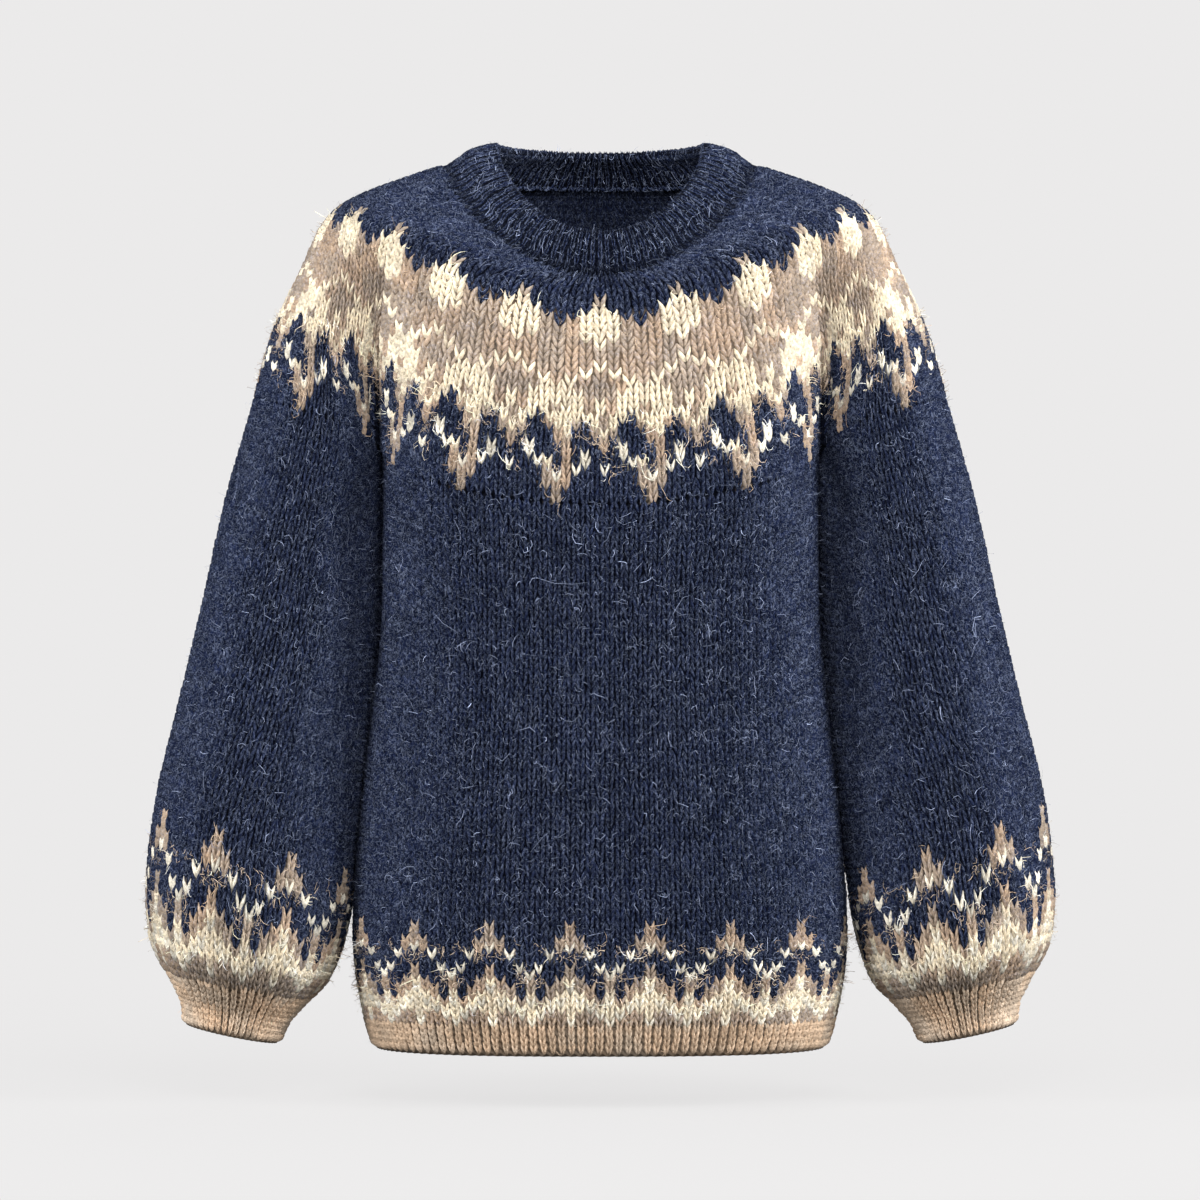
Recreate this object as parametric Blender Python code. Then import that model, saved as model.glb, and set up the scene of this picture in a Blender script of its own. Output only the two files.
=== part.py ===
"""Nordic round-yoke sweater, filled out as it hangs on the shoulders, with nobody in it.

Every piece is a lofted wall of knitted cloth.  Closed rings give its sections: the neck, the
yoke's rounds, the body's and the sleeves' girths.  Smooth curves run down each wale through
the rings, and the wall is drawn inward from it by the cloth's thickness.  Metres, +Z up, the
front faces -Y, and the origin is between the shoulders, where the wearer carries it.
"""
import math

import bpy
import numpy as np

NAME = "nordic_yoke_sweater"

# ---- the knit -------------------------------------------------------------------------
CLOTH = 0.0035            # thickness of the bulky knit
BAND_CLOTH = 0.0060       # thickness of the neckband, which is folded double
SEAM_GAP = 0.0003         # room between pieces that are sewn edge to edge
CORNER_GAP = 0.0018       # extra room at the underarm corner, where three pieces meet
CORNER_SPAN = 0.3         # repeats to each side of the corner that the extra room takes
CORNER_BLEND = 0.12       # repeats to each side over which body and sleeve run together
BODY_GIRTH = 0.90         # length round the body
REPEATS = 22              # pattern repeats round the yoke, 0 at the centre front
SPLIT = 3.0               # repeat at which the yoke divides into body and sleeve
QUARTER = REPEATS / 4     # repeats from the centre front to the shoulder line
YOKE_STITCHES = 10        # stitches in a repeat at the yoke's base
BODY_STITCHES = 136       # stitches round the body
SLEEVE_STITCHES = 64      # stitches round a sleeve
YOKE_STEP = 0.2           # repeats to each side of a column that its slope is taken over
BODY_STEP = YOKE_STEP * YOKE_STITCHES / BODY_STITCHES
SLEEVE_STEP = YOKE_STEP * YOKE_STITCHES / SLEEVE_STITCHES
DOWN_STEP = 0.0001        # rings above and below a row that its slope is taken over
SLEEVE_UNDERARM = 7       # half of the stitches under a sleeve, which the yoke doesn't give

# ---- rings of the neck and the yoke's top ----------------------------------------------
NECK_COLUMNS = ("half_width", "front", "back", "z_front", "z_side", "z_back", "droop")
NECK_RINGS = {
    "neck_edge":     (0.077, 0.075, 0.075, -0.0515, 0.0185, 0.0165, 1.25),
    "neck_middle":   (0.097, 0.086, 0.086, -0.0685, 0.0125, 0.0055, 1.35),
    "neck_seam":     (0.114, 0.093, 0.094, -0.0830, 0.0020, -0.0090, 1.45),
    "pattern_start": (0.192, 0.100, 0.106, -0.1030, -0.0300, -0.0600, 3.20),
}

# ---- the yoke's base, where it divides -------------------------------------------------
BASE_Z = {"front": -0.2530, "side": -0.1730, "back": -0.2120, "droop": 1.75}
YOKE_BULGE = {"side": 0.0085, "front": 0.0030}   # how far the yoke swells between its rings

# ---- the body's rings ------------------------------------------------------------------
BODY_COLUMNS = ("z", "half_width", "front", "back", "squareness")
BODY_RINGS = {
    "base":       (None,   0.1605, 0.1210, 0.1200, 3.0),
    "chest":      (-0.325, 0.1612, 0.1165, 0.1160, 2.8),
    "waist":      (-0.395, 0.1665, 0.1155, 0.1150, 2.7),
    "hip":        (-0.470, 0.1745, 0.1165, 0.1160, 2.6),
    "band_start": (-0.544, 0.1805, 0.1180, 0.1175, 2.6),
    "band_full":  (-0.588, 0.1800, 0.1180, 0.1175, 2.6),
    "rib_start":  (-0.6285, 0.1730, 0.1140, 0.1135, 2.6),
    "hem_edge":   (-0.6505, 0.1665, 0.1110, 0.1105, 2.6),
}

# ---- the sleeves' rings, each tilted: its outer side is higher than its inner side ------
SLEEVE_COLUMNS = ("outer_x", "outer_z", "inner_x", "inner_z", "half_depth", "y", "turn")
SLEEVE_RINGS = {
    "base":       (0.2550, None,    0.1612, None,    0.0640, 0.000, 1.00),
    "upper":      (0.2755, -0.2450, 0.1650, -0.2900, 0.0680, -0.003, 0.75),
    "elbow_top":  (0.2920, -0.3200, 0.1695, -0.3680, 0.0700, -0.006, 0.50),
    "elbow":      (0.3095, -0.3940, 0.1755, -0.4430, 0.0720, -0.009, 0.25),
    "band_start": (0.3255, -0.4610, 0.1835, -0.5125, 0.0740, -0.012, 0.00),
    "band_full":  (0.3340, -0.5270, 0.1895, -0.5620, 0.0750, -0.014, 0.00),
    "band_low":   (0.3310, -0.5710, 0.2005, -0.5985, 0.0700, -0.015, 0.00),
    "rib_start":  (0.3170, -0.5985, 0.2165, -0.6165, 0.0530, -0.016, 0.00),
    "cuff_middle": (0.3085, -0.6160, 0.2290, -0.6305, 0.0405, -0.016, 0.00),
    "cuff_edge":  (0.3065, -0.6330, 0.2370, -0.6475, 0.0365, -0.016, 0.00),
}
UNDERARM_ANGLE = math.radians(20)   # half of the sleeve's top ring that is under the arm
LOBE_POWER = 1.2                    # how the yoke's repeats crowd towards the armhole fold

# ---- how finely each piece is divided ---------------------------------------------------
YOKE_COLUMNS = 88
YOKE_ROWS = (2, 2.5, 3, 3.33, 3.67, 4, 4.67, 5.33, 6)   # ring at which each row lies
NECK_GRID = (88, 2)
BODY_GRID = (2, 24, 2, 7)  # each half: columns under an arm, across, under the other, rows
SLEEVE_GRID = (3, 20, 3, 9)  # columns under the arm, round the lobe, under the arm, rows
HEM_GRID = (56, 1)
CUFF_ROWS = 2

COLOURS = {               # base colour and roughness of each yarn
    "navy": ((0.022, 0.030, 0.060, 1.0), 0.92),
    "cream": ((0.680, 0.590, 0.450, 1.0), 0.90),
    "beige": ((0.400, 0.300, 0.210, 1.0), 0.90),
}


# ---- rings ------------------------------------------------------------------------------
def row(columns, values):
    """One table row as a dictionary with the table's column names."""
    return dict(zip(columns, values))


def oval(u, ring):
    """A neck or yoke ring at repeats u: an oval whose front hangs lower than its sides."""
    angle = 2 * math.pi * u / REPEATS
    sine, cosine = np.sin(angle), np.cos(angle)
    is_front = cosine > 0
    depth = np.where(is_front, ring["front"], ring["back"])
    fall = np.where(is_front, ring["z_front"], ring["z_back"]) - ring["z_side"]
    z = ring["z_side"] + fall * np.abs(cosine) ** ring["droop"]
    return np.stack([ring["half_width"] * sine, -depth * cosine, z], -1)


def body_girth(s, ring):
    """x and y of a body ring at s, the share of the way round from the centre front."""
    t = np.linspace(0, math.pi / 2, 400)
    power = 2 / ring["squareness"]
    quarter = np.mod(s, 0.5)
    quarter = np.where(quarter > 0.25, 0.5 - quarter, quarter) / 0.25
    turned = np.mod(s, 1.0)
    right = turned < 0.5
    front = (turned < 0.25) | (turned > 0.75)
    points = []
    for depth in (ring["front"], ring["back"]):
        x = ring["half_width"] * np.sin(t) ** power
        y = depth * np.cos(t) ** power
        along = np.concatenate([[0], np.cumsum(np.hypot(np.diff(x), np.diff(y)))])
        share = along / along[-1]
        points.append((np.interp(quarter, share, x), np.interp(quarter, share, y)))
    x = np.where(front, points[0][0], points[1][0])
    y = np.where(front, -points[0][1], points[1][1])
    return np.where(right, x, -x), y


def base_height(u):
    """Height of the yoke's base at repeats u."""
    cosine = np.cos(2 * math.pi * u / REPEATS)
    fall = np.where(cosine > 0, BASE_Z["front"], BASE_Z["back"]) - BASE_Z["side"]
    return BASE_Z["side"] + fall * np.abs(cosine) ** BASE_Z["droop"]


def fold_half(s):
    """Share of the way round folded to one half: 0 at the start, 0.5 opposite it."""
    turned = np.mod(s, 1.0)
    return np.where(turned > 0.5, 1 - turned, turned)


def body_across(s):
    """0 at the body's front corner under the arm, 1 at its back corner, held beyond them."""
    corner = SPLIT * YOKE_STITCHES / BODY_STITCHES
    return np.clip((fold_half(s) - corner) / (0.5 - 2 * corner), 0, 1)


def sleeve_across(s):
    """0 at a sleeve's front corner under the arm, 1 at its back corner, held beyond them."""
    corner = SLEEVE_UNDERARM / SLEEVE_STITCHES
    signed = np.where(np.mod(s, 1.0) > 0.5, fold_half(s), -fold_half(s))
    return np.clip((1 + signed / corner) / 2, 0, 1)


def underarm_height(across):
    """Height of the seam under the arm, from the front corner to the back corner."""
    front, back = base_height(SPLIT), base_height(REPEATS / 2 - SPLIT)
    return front + (back - front) * across


def body_base(s):
    """The body's top ring: the yoke's base, and a straight underarm between the corners."""
    x, y = body_girth(s, row(BODY_COLUMNS, BODY_RINGS["base"]))
    across = body_across(s)
    u = fold_half(s) * BODY_STITCHES / YOKE_STITCHES
    from_back = (0.5 - fold_half(s)) * BODY_STITCHES / YOKE_STITCHES
    z = np.where(across <= 0, base_height(np.minimum(u, SPLIT)), underarm_height(across))
    z = np.where(across >= 1, base_height(REPEATS / 2 - np.minimum(from_back, SPLIT)), z)
    return np.stack([x, y, z], -1)


def sleeve_turn(s):
    """Angle round a sleeve's top ring at s: its stitches follow the yoke's repeats."""
    half = fold_half(s)
    corner = SLEEVE_UNDERARM / SLEEVE_STITCHES
    lobe = np.clip((half - corner) / (0.5 - corner), 0, 1) ** LOBE_POWER
    angle = UNDERARM_ANGLE + (math.pi - UNDERARM_ANGLE) * lobe
    angle = np.where(half < corner, UNDERARM_ANGLE * half / corner, angle)
    return np.where(s > 0.5, 2 * math.pi - angle, angle)


def sleeve_ring(s, ring):
    """A ring of the +X sleeve at s: 0 at the inner side, then front, outer side and back."""
    s = np.mod(s, 1.0)
    angle = ring["turn"] * sleeve_turn(s) + (1 - ring["turn"]) * 2 * math.pi * s
    middle = (ring["outer_x"] + ring["inner_x"]) / 2
    radius = (ring["outer_x"] - ring["inner_x"]) / 2
    x = middle - radius * np.cos(angle)
    y = ring["y"] - ring["half_depth"] * np.sin(angle)
    if ring["outer_z"] is not None:
        share = (1 - np.cos(angle)) / 2
        return np.stack([x, y, ring["inner_z"] + (ring["outer_z"] - ring["inner_z"]) * share], -1)
    corner = SLEEVE_UNDERARM / SLEEVE_STITCHES
    u = SPLIT + np.clip(fold_half(s) - corner, 0, None) * SLEEVE_STITCHES / YOKE_STITCHES
    z = np.where(s > 0.5, base_height(REPEATS / 2 - u), base_height(u))
    z = np.where(fold_half(s) < corner, underarm_height(sleeve_across(s)), z)
    return np.stack([x, y, z], -1)


def yoke_base(u):
    """The yoke's lowest ring at repeats u: body arcs, and a lobe for each sleeve."""
    turned = np.mod(u, REPEATS)
    mirrored = turned > REPEATS / 2
    half = np.where(mirrored, REPEATS - turned, turned)
    from_back = REPEATS / 2 - half
    s_body = np.where(half < QUARTER, half * YOKE_STITCHES / BODY_STITCHES,
                      0.5 - from_back * YOKE_STITCHES / BODY_STITCHES)
    body = body_base(s_body)
    s_sleeve = (SLEEVE_UNDERARM + (half - SPLIT) * YOKE_STITCHES) / SLEEVE_STITCHES
    sleeve = sleeve_ring(np.clip(s_sleeve, 0, 1), row(SLEEVE_COLUMNS, SLEEVE_RINGS["base"]))
    away = np.minimum(half, from_back) - SPLIT
    t = np.clip((away / CORNER_BLEND + 1) / 2, 0, 1)
    share = (3 * t**2 - 2 * t**3)[..., None]
    points = (1 - share) * body + share * sleeve
    points[..., 0] = np.where(mirrored, -points[..., 0], points[..., 0])
    return points


def yoke_rings(u):
    """The yoke's five rings at repeats u, from the neck seam down to the base."""
    seam = oval(u, row(NECK_COLUMNS, NECK_RINGS["neck_seam"]))
    start = oval(u, row(NECK_COLUMNS, NECK_RINGS["pattern_start"]))
    base = yoke_base(u)
    angle = 2 * math.pi * u / REPEATS
    outward = np.stack([np.sin(angle) * YOKE_BULGE["side"],
                        -np.cos(angle) * YOKE_BULGE["front"], np.zeros_like(angle)], -1)
    between = [start + (base - start) * t + outward * 4 * t * (1 - t) for t in (1 / 3, 2 / 3)]
    return [seam, start, *between, base]


# ---- surfaces: a smooth curve through the rings, down every column ------------------------
def through(rings, v):
    """Points at v, where ring k lies at v = k, on a curve that passes through each ring."""
    rings = np.stack(rings)
    last = len(rings) - 1
    k = np.clip(np.floor(v).astype(int), 0, last - 1)
    t = (v - k)[:, None, None]
    before, start, end, after = (rings[np.clip(k + i, 0, last)] for i in (-1, 0, 1, 2))
    slope_start = np.where((k > 0)[:, None, None], (end - before) / 2, end - start)
    slope_end = np.where((k < last - 1)[:, None, None], (after - start) / 2, end - start)
    return ((2 * t**3 - 3 * t**2 + 1) * start + (t**3 - 2 * t**2 + t) * slope_start
            + (3 * t**2 - 2 * t**3) * end + (t**3 - t**2) * slope_end)


def yoke_columns(u):
    """The rings of each column from the neck's fold down, and one that it runs on into."""
    turned = np.mod(u, REPEATS)
    half = np.where(turned > REPEATS / 2, REPEATS - turned, turned)
    from_back = REPEATS / 2 - half
    from_middle = np.minimum(half, from_back) * YOKE_STITCHES / BODY_STITCHES
    chest = body_ring(np.where(half < QUARTER, from_middle, 0.5 - from_middle), "chest")
    s_sleeve = (SLEEVE_UNDERARM + (half - SPLIT) * YOKE_STITCHES) / SLEEVE_STITCHES
    upper = sleeve_ring(np.clip(s_sleeve, 0, 1), row(SLEEVE_COLUMNS, SLEEVE_RINGS["upper"]))
    is_sleeve = np.minimum(half, from_back) > SPLIT
    below = np.where(is_sleeve[..., None], upper, chest)
    below[..., 0] = np.where(turned > REPEATS / 2, -below[..., 0], below[..., 0])
    neck = [oval(u, row(NECK_COLUMNS, NECK_RINGS[name])) for name in ("neck_edge", "neck_middle")]
    return neck + yoke_rings(u) + [below]


def body_ring(s, name):
    """A level ring of the body."""
    ring = row(BODY_COLUMNS, BODY_RINGS[name])
    x, y = body_girth(s, ring)
    return np.stack([x, y, np.full_like(x, ring["z"])], -1)


def lead_in(base, u, across):
    """The ring above a base ring: the yoke's own, and over an underarm one turned with it."""
    rings = yoke_rings(u)
    corners = yoke_rings(np.array([SPLIT, REPEATS / 2 - SPLIT]))
    front, back = corners[-2] - corners[-1]
    under = (across > 0) & (across < 1)
    offset = np.where(under[..., None], front + (back - front) * across[..., None],
                      rings[-2] - rings[-1])
    return base + offset


def body_columns(s):
    """The body's rings from its base down, with the yoke ring above to lead into them."""
    half = fold_half(s)
    base = body_base(half)
    u = np.minimum(np.minimum(half, 0.5 - half) * BODY_STITCHES / YOKE_STITCHES, SPLIT)
    u = np.where(half < 0.25, u, REPEATS / 2 - u)
    rings = [lead_in(base, u, body_across(half)), base]
    rings += [body_ring(half, name) for name in list(BODY_RINGS)[1:]]
    mirror = np.where(np.mod(s, 1.0) > 0.5, -1.0, 1.0)[..., None]
    return [ring * np.concatenate([mirror, np.ones_like(ring[..., 1:])], -1) for ring in rings]


def sleeve_columns(s):
    """The +X sleeve's rings from its base down, with the yoke ring above them."""
    corner = SLEEVE_UNDERARM / SLEEVE_STITCHES
    u = SPLIT + np.clip(fold_half(s) - corner, 0, None) * SLEEVE_STITCHES / YOKE_STITCHES
    u = np.where(np.mod(s, 1.0) > 0.5, REPEATS / 2 - u, u)
    rings = [sleeve_ring(s, row(SLEEVE_COLUMNS, values)) for values in SLEEVE_RINGS.values()]
    return [lead_in(rings[0], u, sleeve_across(s))] + rings


def spread(stops, counts):
    """Values from the first stop to the last, with so many equal steps between each two."""
    steps = [np.linspace(a, b, n, endpoint=False) for a, b, n in zip(stops, stops[1:], counts)]
    return np.concatenate(steps + [[stops[-1]]])


# ---- meshes --------------------------------------------------------------------------------
def wall(columns_of, s, v, around_step, thickness, top_gap=0.0, foot_gap=0.0):
    """Outer and inner points of a piece, its end rows drawn back along the cloth for seams."""
    rings = columns_of(s)
    outer = through(rings, v)
    down = through(rings, v + DOWN_STEP) - through(rings, v - DOWN_STEP)
    around = through(columns_of(s + around_step), v) - through(columns_of(s - around_step), v)
    outward = np.cross(down, around)
    outward /= np.linalg.norm(outward, axis=-1, keepdims=True)
    down /= np.linalg.norm(down, axis=-1, keepdims=True)
    inner = outer - outward * thickness
    for points in (outer, inner):
        points[0] += down[0] * np.reshape(top_gap, (-1, 1))
        points[-1] -= down[-1] * np.reshape(foot_gap, (-1, 1))
    return outer, inner


def make_cloth(name, yarn, outer, inner, closed):
    """One knitted piece: a closed wall between its outer and its inner points."""
    rows, columns = outer.shape[:2]
    index = np.arange(rows * columns).reshape(rows, columns)
    out, inn = index, index + rows * columns
    if closed:
        out, inn = (np.concatenate([grid, grid[:, :1]], 1) for grid in (out, inn))

    def quads(*corners):
        return np.stack([corner.ravel() for corner in corners], -1).tolist()

    faces = quads(out[:-1, :-1], out[1:, :-1], out[1:, 1:], out[:-1, 1:])
    faces += quads(inn[:-1, :-1], inn[:-1, 1:], inn[1:, 1:], inn[1:, :-1])
    faces += quads(out[0, :-1], out[0, 1:], inn[0, 1:], inn[0, :-1])
    faces += quads(out[-1, 1:], out[-1, :-1], inn[-1, :-1], inn[-1, 1:])
    if not closed:
        faces += quads(out[1:, 0], out[:-1, 0], inn[:-1, 0], inn[1:, 0])
        faces += quads(out[:-1, -1], out[1:, -1], inn[1:, -1], inn[:-1, -1])
    mesh = bpy.data.meshes.new(name)
    mesh.from_pydata(np.concatenate([outer, inner]).reshape(-1, 3).tolist(), [], faces)
    mesh.shade_smooth()
    mesh.materials.append(yarn)
    piece = bpy.data.objects.new(name, mesh)
    bpy.data.collections[NAME].objects.link(piece)
    return piece


def make_yarn(name):
    """A plain wool material for one colour of yarn."""
    colour, roughness = COLOURS[name]
    material = bpy.data.materials.new(name + "_wool")
    material.use_nodes = True
    shader = material.node_tree.nodes["Principled BSDF"]
    shader.inputs["Base Color"].default_value = colour
    shader.inputs["Roughness"].default_value = roughness
    return material


def make_neckband(yarn):
    """The folded crew neckband, from its fold down to the seam."""
    columns, rows = NECK_GRID
    u = np.arange(columns) * REPEATS / columns
    outer, inner = wall(yoke_columns, u, np.linspace(0, 2, rows + 1), YOKE_STEP, BAND_CLOTH,
                        foot_gap=SEAM_GAP / 2)
    make_cloth("neckband", yarn, outer, inner, True)


def make_yoke(yarn):
    """The round yoke, from the neck seam to where the body and the sleeves begin."""
    u = np.arange(YOKE_COLUMNS) * REPEATS / YOKE_COLUMNS
    half = np.minimum(np.mod(u, REPEATS / 2), REPEATS / 2 - np.mod(u, REPEATS / 2))
    corner = CORNER_GAP * np.exp(-((half - SPLIT) / CORNER_SPAN) ** 2)
    outer, inner = wall(yoke_columns, u, np.array(YOKE_ROWS), YOKE_STEP, CLOTH,
                        top_gap=SEAM_GAP / 2, foot_gap=SEAM_GAP / 2 + corner)
    make_cloth("yoke", yarn, outer, inner, True)


def make_body_half(name, yarn, start):
    """The front or the back of the body, which starts at the share start of the way round."""
    *spans, rows = BODY_GRID
    inset = SEAM_GAP / 2 / BODY_GIRTH
    corner = 0.25 - SPLIT * YOKE_STITCHES / BODY_STITCHES
    s = start + spread((inset, corner, 0.5 - corner, 0.5 - inset), spans)
    foot = len(BODY_RINGS) - 1
    outer, inner = wall(body_columns, s, np.linspace(1, foot, rows + 1), BODY_STEP, CLOTH,
                        top_gap=SEAM_GAP / 2, foot_gap=SEAM_GAP / 2)
    make_cloth(name, yarn, outer, inner, False)


def make_hem(yarn):
    """The ribbed band at the foot of the body."""
    columns, rows = HEM_GRID
    foot = len(BODY_RINGS)
    outer, inner = wall(body_columns, np.arange(columns) / columns,
                        np.linspace(foot - 1, foot, rows + 1), BODY_STEP, CLOTH,
                        top_gap=SEAM_GAP / 2)
    make_cloth("hem_band", yarn, outer, inner, True)


def make_sleeve(side, yarn, cuff_yarn):
    """A bishop sleeve and its ribbed cuff; side is 1 for +X and -1 for -X."""
    label = "left" if side > 0 else "right"
    corner = SLEEVE_UNDERARM / SLEEVE_STITCHES
    s = spread((0, corner, 1 - corner, 1), SLEEVE_GRID[:3])[:-1]
    foot = len(SLEEVE_RINGS)
    pieces = (("sleeve", yarn, 1, foot - 2, SLEEVE_GRID[3], SEAM_GAP / 2),
              ("cuff", cuff_yarn, foot - 2, foot, CUFF_ROWS, 0.0))
    for name, wool, top, end, rows, foot_gap in pieces:
        grids = wall(sleeve_columns, s, np.linspace(top, end, rows + 1), SLEEVE_STEP, CLOTH,
                     top_gap=SEAM_GAP / 2, foot_gap=foot_gap)
        if side < 0:
            grids = [grid[:, ::-1] * np.array([-1, 1, 1]) for grid in grids]
        make_cloth(f"{name}_{label}", wool, *grids, True)


def main():
    for old in list(bpy.data.objects):
        bpy.data.objects.remove(old)
    bpy.context.scene.collection.children.link(bpy.data.collections.new(NAME))
    navy, cream, beige = (make_yarn(name) for name in ("navy", "cream", "beige"))
    make_neckband(navy)
    make_yoke(cream)
    make_body_half("body_front", navy, -0.25)
    make_body_half("body_back", navy, 0.25)
    make_hem(beige)
    make_sleeve(1, navy, beige)
    make_sleeve(-1, navy, beige)


main()
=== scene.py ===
"""Looks of the nordic round-yoke sweater, stitch by stitch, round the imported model.

Every piece is knitted on the model's own surface: its rings and its curves down the wales.
A fabric gives a point for each wale and round; on it lie a thin cloth, two plump strands of
yarn for every stitch, coloured from charts, and loose fibres.  Metres, +Z up, front -Y.
"""
import math
from functools import lru_cache

import bpy
import numpy as np
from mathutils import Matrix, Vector


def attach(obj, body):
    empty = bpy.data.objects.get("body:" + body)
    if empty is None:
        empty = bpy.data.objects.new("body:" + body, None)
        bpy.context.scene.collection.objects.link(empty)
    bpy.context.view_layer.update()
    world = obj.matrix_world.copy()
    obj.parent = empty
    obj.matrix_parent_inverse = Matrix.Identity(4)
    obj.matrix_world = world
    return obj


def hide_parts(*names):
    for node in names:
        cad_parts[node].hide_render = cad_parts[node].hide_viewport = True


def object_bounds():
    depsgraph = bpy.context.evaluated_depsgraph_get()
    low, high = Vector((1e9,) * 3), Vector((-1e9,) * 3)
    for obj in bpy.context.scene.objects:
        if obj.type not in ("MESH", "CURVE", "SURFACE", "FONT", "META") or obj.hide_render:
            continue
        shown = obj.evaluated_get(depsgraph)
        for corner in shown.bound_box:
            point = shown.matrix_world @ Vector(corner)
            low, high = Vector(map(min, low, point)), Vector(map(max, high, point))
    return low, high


bl_info = {
    "name": "Nordic Yoke Sweater",
    "version": (1, 0, 0),
    "blender": (4, 5, 0),
    "location": "View3D > Sidebar > Sweater",
    "description": "Knits a round-yoke sweater stitch by stitch round its packed model",
    "category": "Object",
}

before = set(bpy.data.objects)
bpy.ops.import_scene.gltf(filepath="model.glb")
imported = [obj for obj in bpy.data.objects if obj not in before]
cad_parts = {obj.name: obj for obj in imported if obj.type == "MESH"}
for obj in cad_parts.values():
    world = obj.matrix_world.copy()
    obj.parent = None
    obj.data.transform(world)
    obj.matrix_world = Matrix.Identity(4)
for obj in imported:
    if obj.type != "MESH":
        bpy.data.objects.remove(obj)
MODEL_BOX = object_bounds()

# ---- the knit -------------------------------------------------------------------------
CORNER_BLEND = 0.12       # repeats to each side over which body and sleeve run together
REPEATS = 22              # pattern repeats round the yoke, 0 at the centre front
SPLIT = 3.0               # repeat at which the yoke divides into body and sleeve
QUARTER = REPEATS / 4     # repeats from the centre front to the shoulder line
YOKE_STITCHES = 10        # stitches in a repeat at the yoke's base
BODY_STITCHES = 136       # stitches round the body
SLEEVE_STITCHES = 64      # stitches round a sleeve
SLEEVE_UNDERARM = 7       # half of the stitches under a sleeve, which the yoke doesn't give
BASE_WALES = REPEATS * YOKE_STITCHES                   # stitches round the yoke's base
BODY_CORNER = SPLIT * YOKE_STITCHES / BODY_STITCHES    # share of the way round to a corner
SLEEVE_CORNER = SLEEVE_UNDERARM / SLEEVE_STITCHES      # under the arm, on body and sleeve

# ---- rings of the neck and the yoke's top ----------------------------------------------
NECK_COLUMNS = ("half_width", "front", "back", "z_front", "z_side", "z_back", "droop")
NECK_RINGS = {
    "neck_edge":     (0.077, 0.075, 0.075, -0.0515, 0.0185, 0.0165, 1.25),
    "neck_middle":   (0.097, 0.086, 0.086, -0.0685, 0.0125, 0.0055, 1.35),
    "neck_seam":     (0.114, 0.093, 0.094, -0.0830, 0.0020, -0.0090, 1.45),
    "pattern_start": (0.192, 0.100, 0.106, -0.1030, -0.0300, -0.0600, 3.20),
}

# ---- the yoke's base, where it divides -------------------------------------------------
BASE_Z = {"front": -0.2530, "side": -0.1730, "back": -0.2120, "droop": 1.75}
YOKE_BULGE = {"side": 0.0085, "front": 0.0030}   # how far the yoke swells between its rings

# ---- the body's rings ------------------------------------------------------------------
BODY_COLUMNS = ("z", "half_width", "front", "back", "squareness")
BODY_RINGS = {
    "base":       (None,   0.1605, 0.1210, 0.1200, 3.0),
    "chest":      (-0.325, 0.1612, 0.1165, 0.1160, 2.8),
    "waist":      (-0.395, 0.1665, 0.1155, 0.1150, 2.7),
    "hip":        (-0.470, 0.1745, 0.1165, 0.1160, 2.6),
    "band_start": (-0.544, 0.1805, 0.1180, 0.1175, 2.6),
    "band_full":  (-0.588, 0.1800, 0.1180, 0.1175, 2.6),
    "rib_start":  (-0.6285, 0.1730, 0.1140, 0.1135, 2.6),
    "hem_edge":   (-0.6505, 0.1665, 0.1110, 0.1105, 2.6),
}

# ---- the sleeves' rings, each tilted: its outer side is higher than its inner side ------
SLEEVE_COLUMNS = ("outer_x", "outer_z", "inner_x", "inner_z", "half_depth", "y", "turn")
SLEEVE_RINGS = {
    "base":       (0.2550, None,    0.1612, None,    0.0640, 0.000, 1.00),
    "upper":      (0.2755, -0.2450, 0.1650, -0.2900, 0.0680, -0.003, 0.75),
    "elbow_top":  (0.2920, -0.3200, 0.1695, -0.3680, 0.0700, -0.006, 0.50),
    "elbow":      (0.3095, -0.3940, 0.1755, -0.4430, 0.0720, -0.009, 0.25),
    "band_start": (0.3255, -0.4610, 0.1835, -0.5125, 0.0740, -0.012, 0.00),
    "band_full":  (0.3340, -0.5270, 0.1895, -0.5620, 0.0750, -0.014, 0.00),
    "band_low":   (0.3310, -0.5710, 0.2005, -0.5985, 0.0700, -0.015, 0.00),
    "rib_start":  (0.3170, -0.5985, 0.2165, -0.6165, 0.0530, -0.016, 0.00),
    "cuff_middle": (0.3085, -0.6160, 0.2290, -0.6305, 0.0405, -0.016, 0.00),
    "cuff_edge":  (0.3065, -0.6330, 0.2370, -0.6475, 0.0365, -0.016, 0.00),
}
UNDERARM_ANGLE = math.radians(20)   # half of the sleeve's top ring that is under the arm
LOBE_POWER = 1.2                    # how the yoke's repeats crowd towards the armhole fold
GIRTH_STEPS = 400                   # points that a quarter of the body's girth is measured by

# ---- gauge: how stitches lie on the rings -----------------------------------------------
WALE = 0.0072             # usual width of a stitch
ROUND = 0.0053            # usual height of a stitch
YOKE_ROUNDS = 28          # rounds of pattern, from its start to the yoke's base
BODY_ROUNDS = (58, 14, 4.5)       # plain rounds, patterned rounds, rib
SLEEVE_ROUNDS = (50, 15.5, 8)
YOKE_STOPS = (3, 6)               # and where on each piece's rings they start and end
BODY_STOPS = (1, 5.31, 7, 8)
SLEEVE_STOPS = (1, 5.25, 8, 10)
YOKE_LEAD = 22            # rounds of the yoke's fabric over the pattern's start
YOKE_REACH = 30           # and its last round, in the body and the sleeves
PANEL_LEAD = 3            # rounds of the body's and a sleeve's fabric over their top rings
BODY_REACH = 78           # and their last rounds
SLEEVE_REACH = 75
OVERLAP = 4               # wales that a fabric runs on past both its ends
FINE_WALE = 4             # points of a fabric to one stitch's width
FINE_ROUND = 3            # and to its height
COLUMN_STEPS = 360        # points that a column's length is measured by
NECK_STEPS = 60           # and its length from the neck's seam to the pattern
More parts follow.
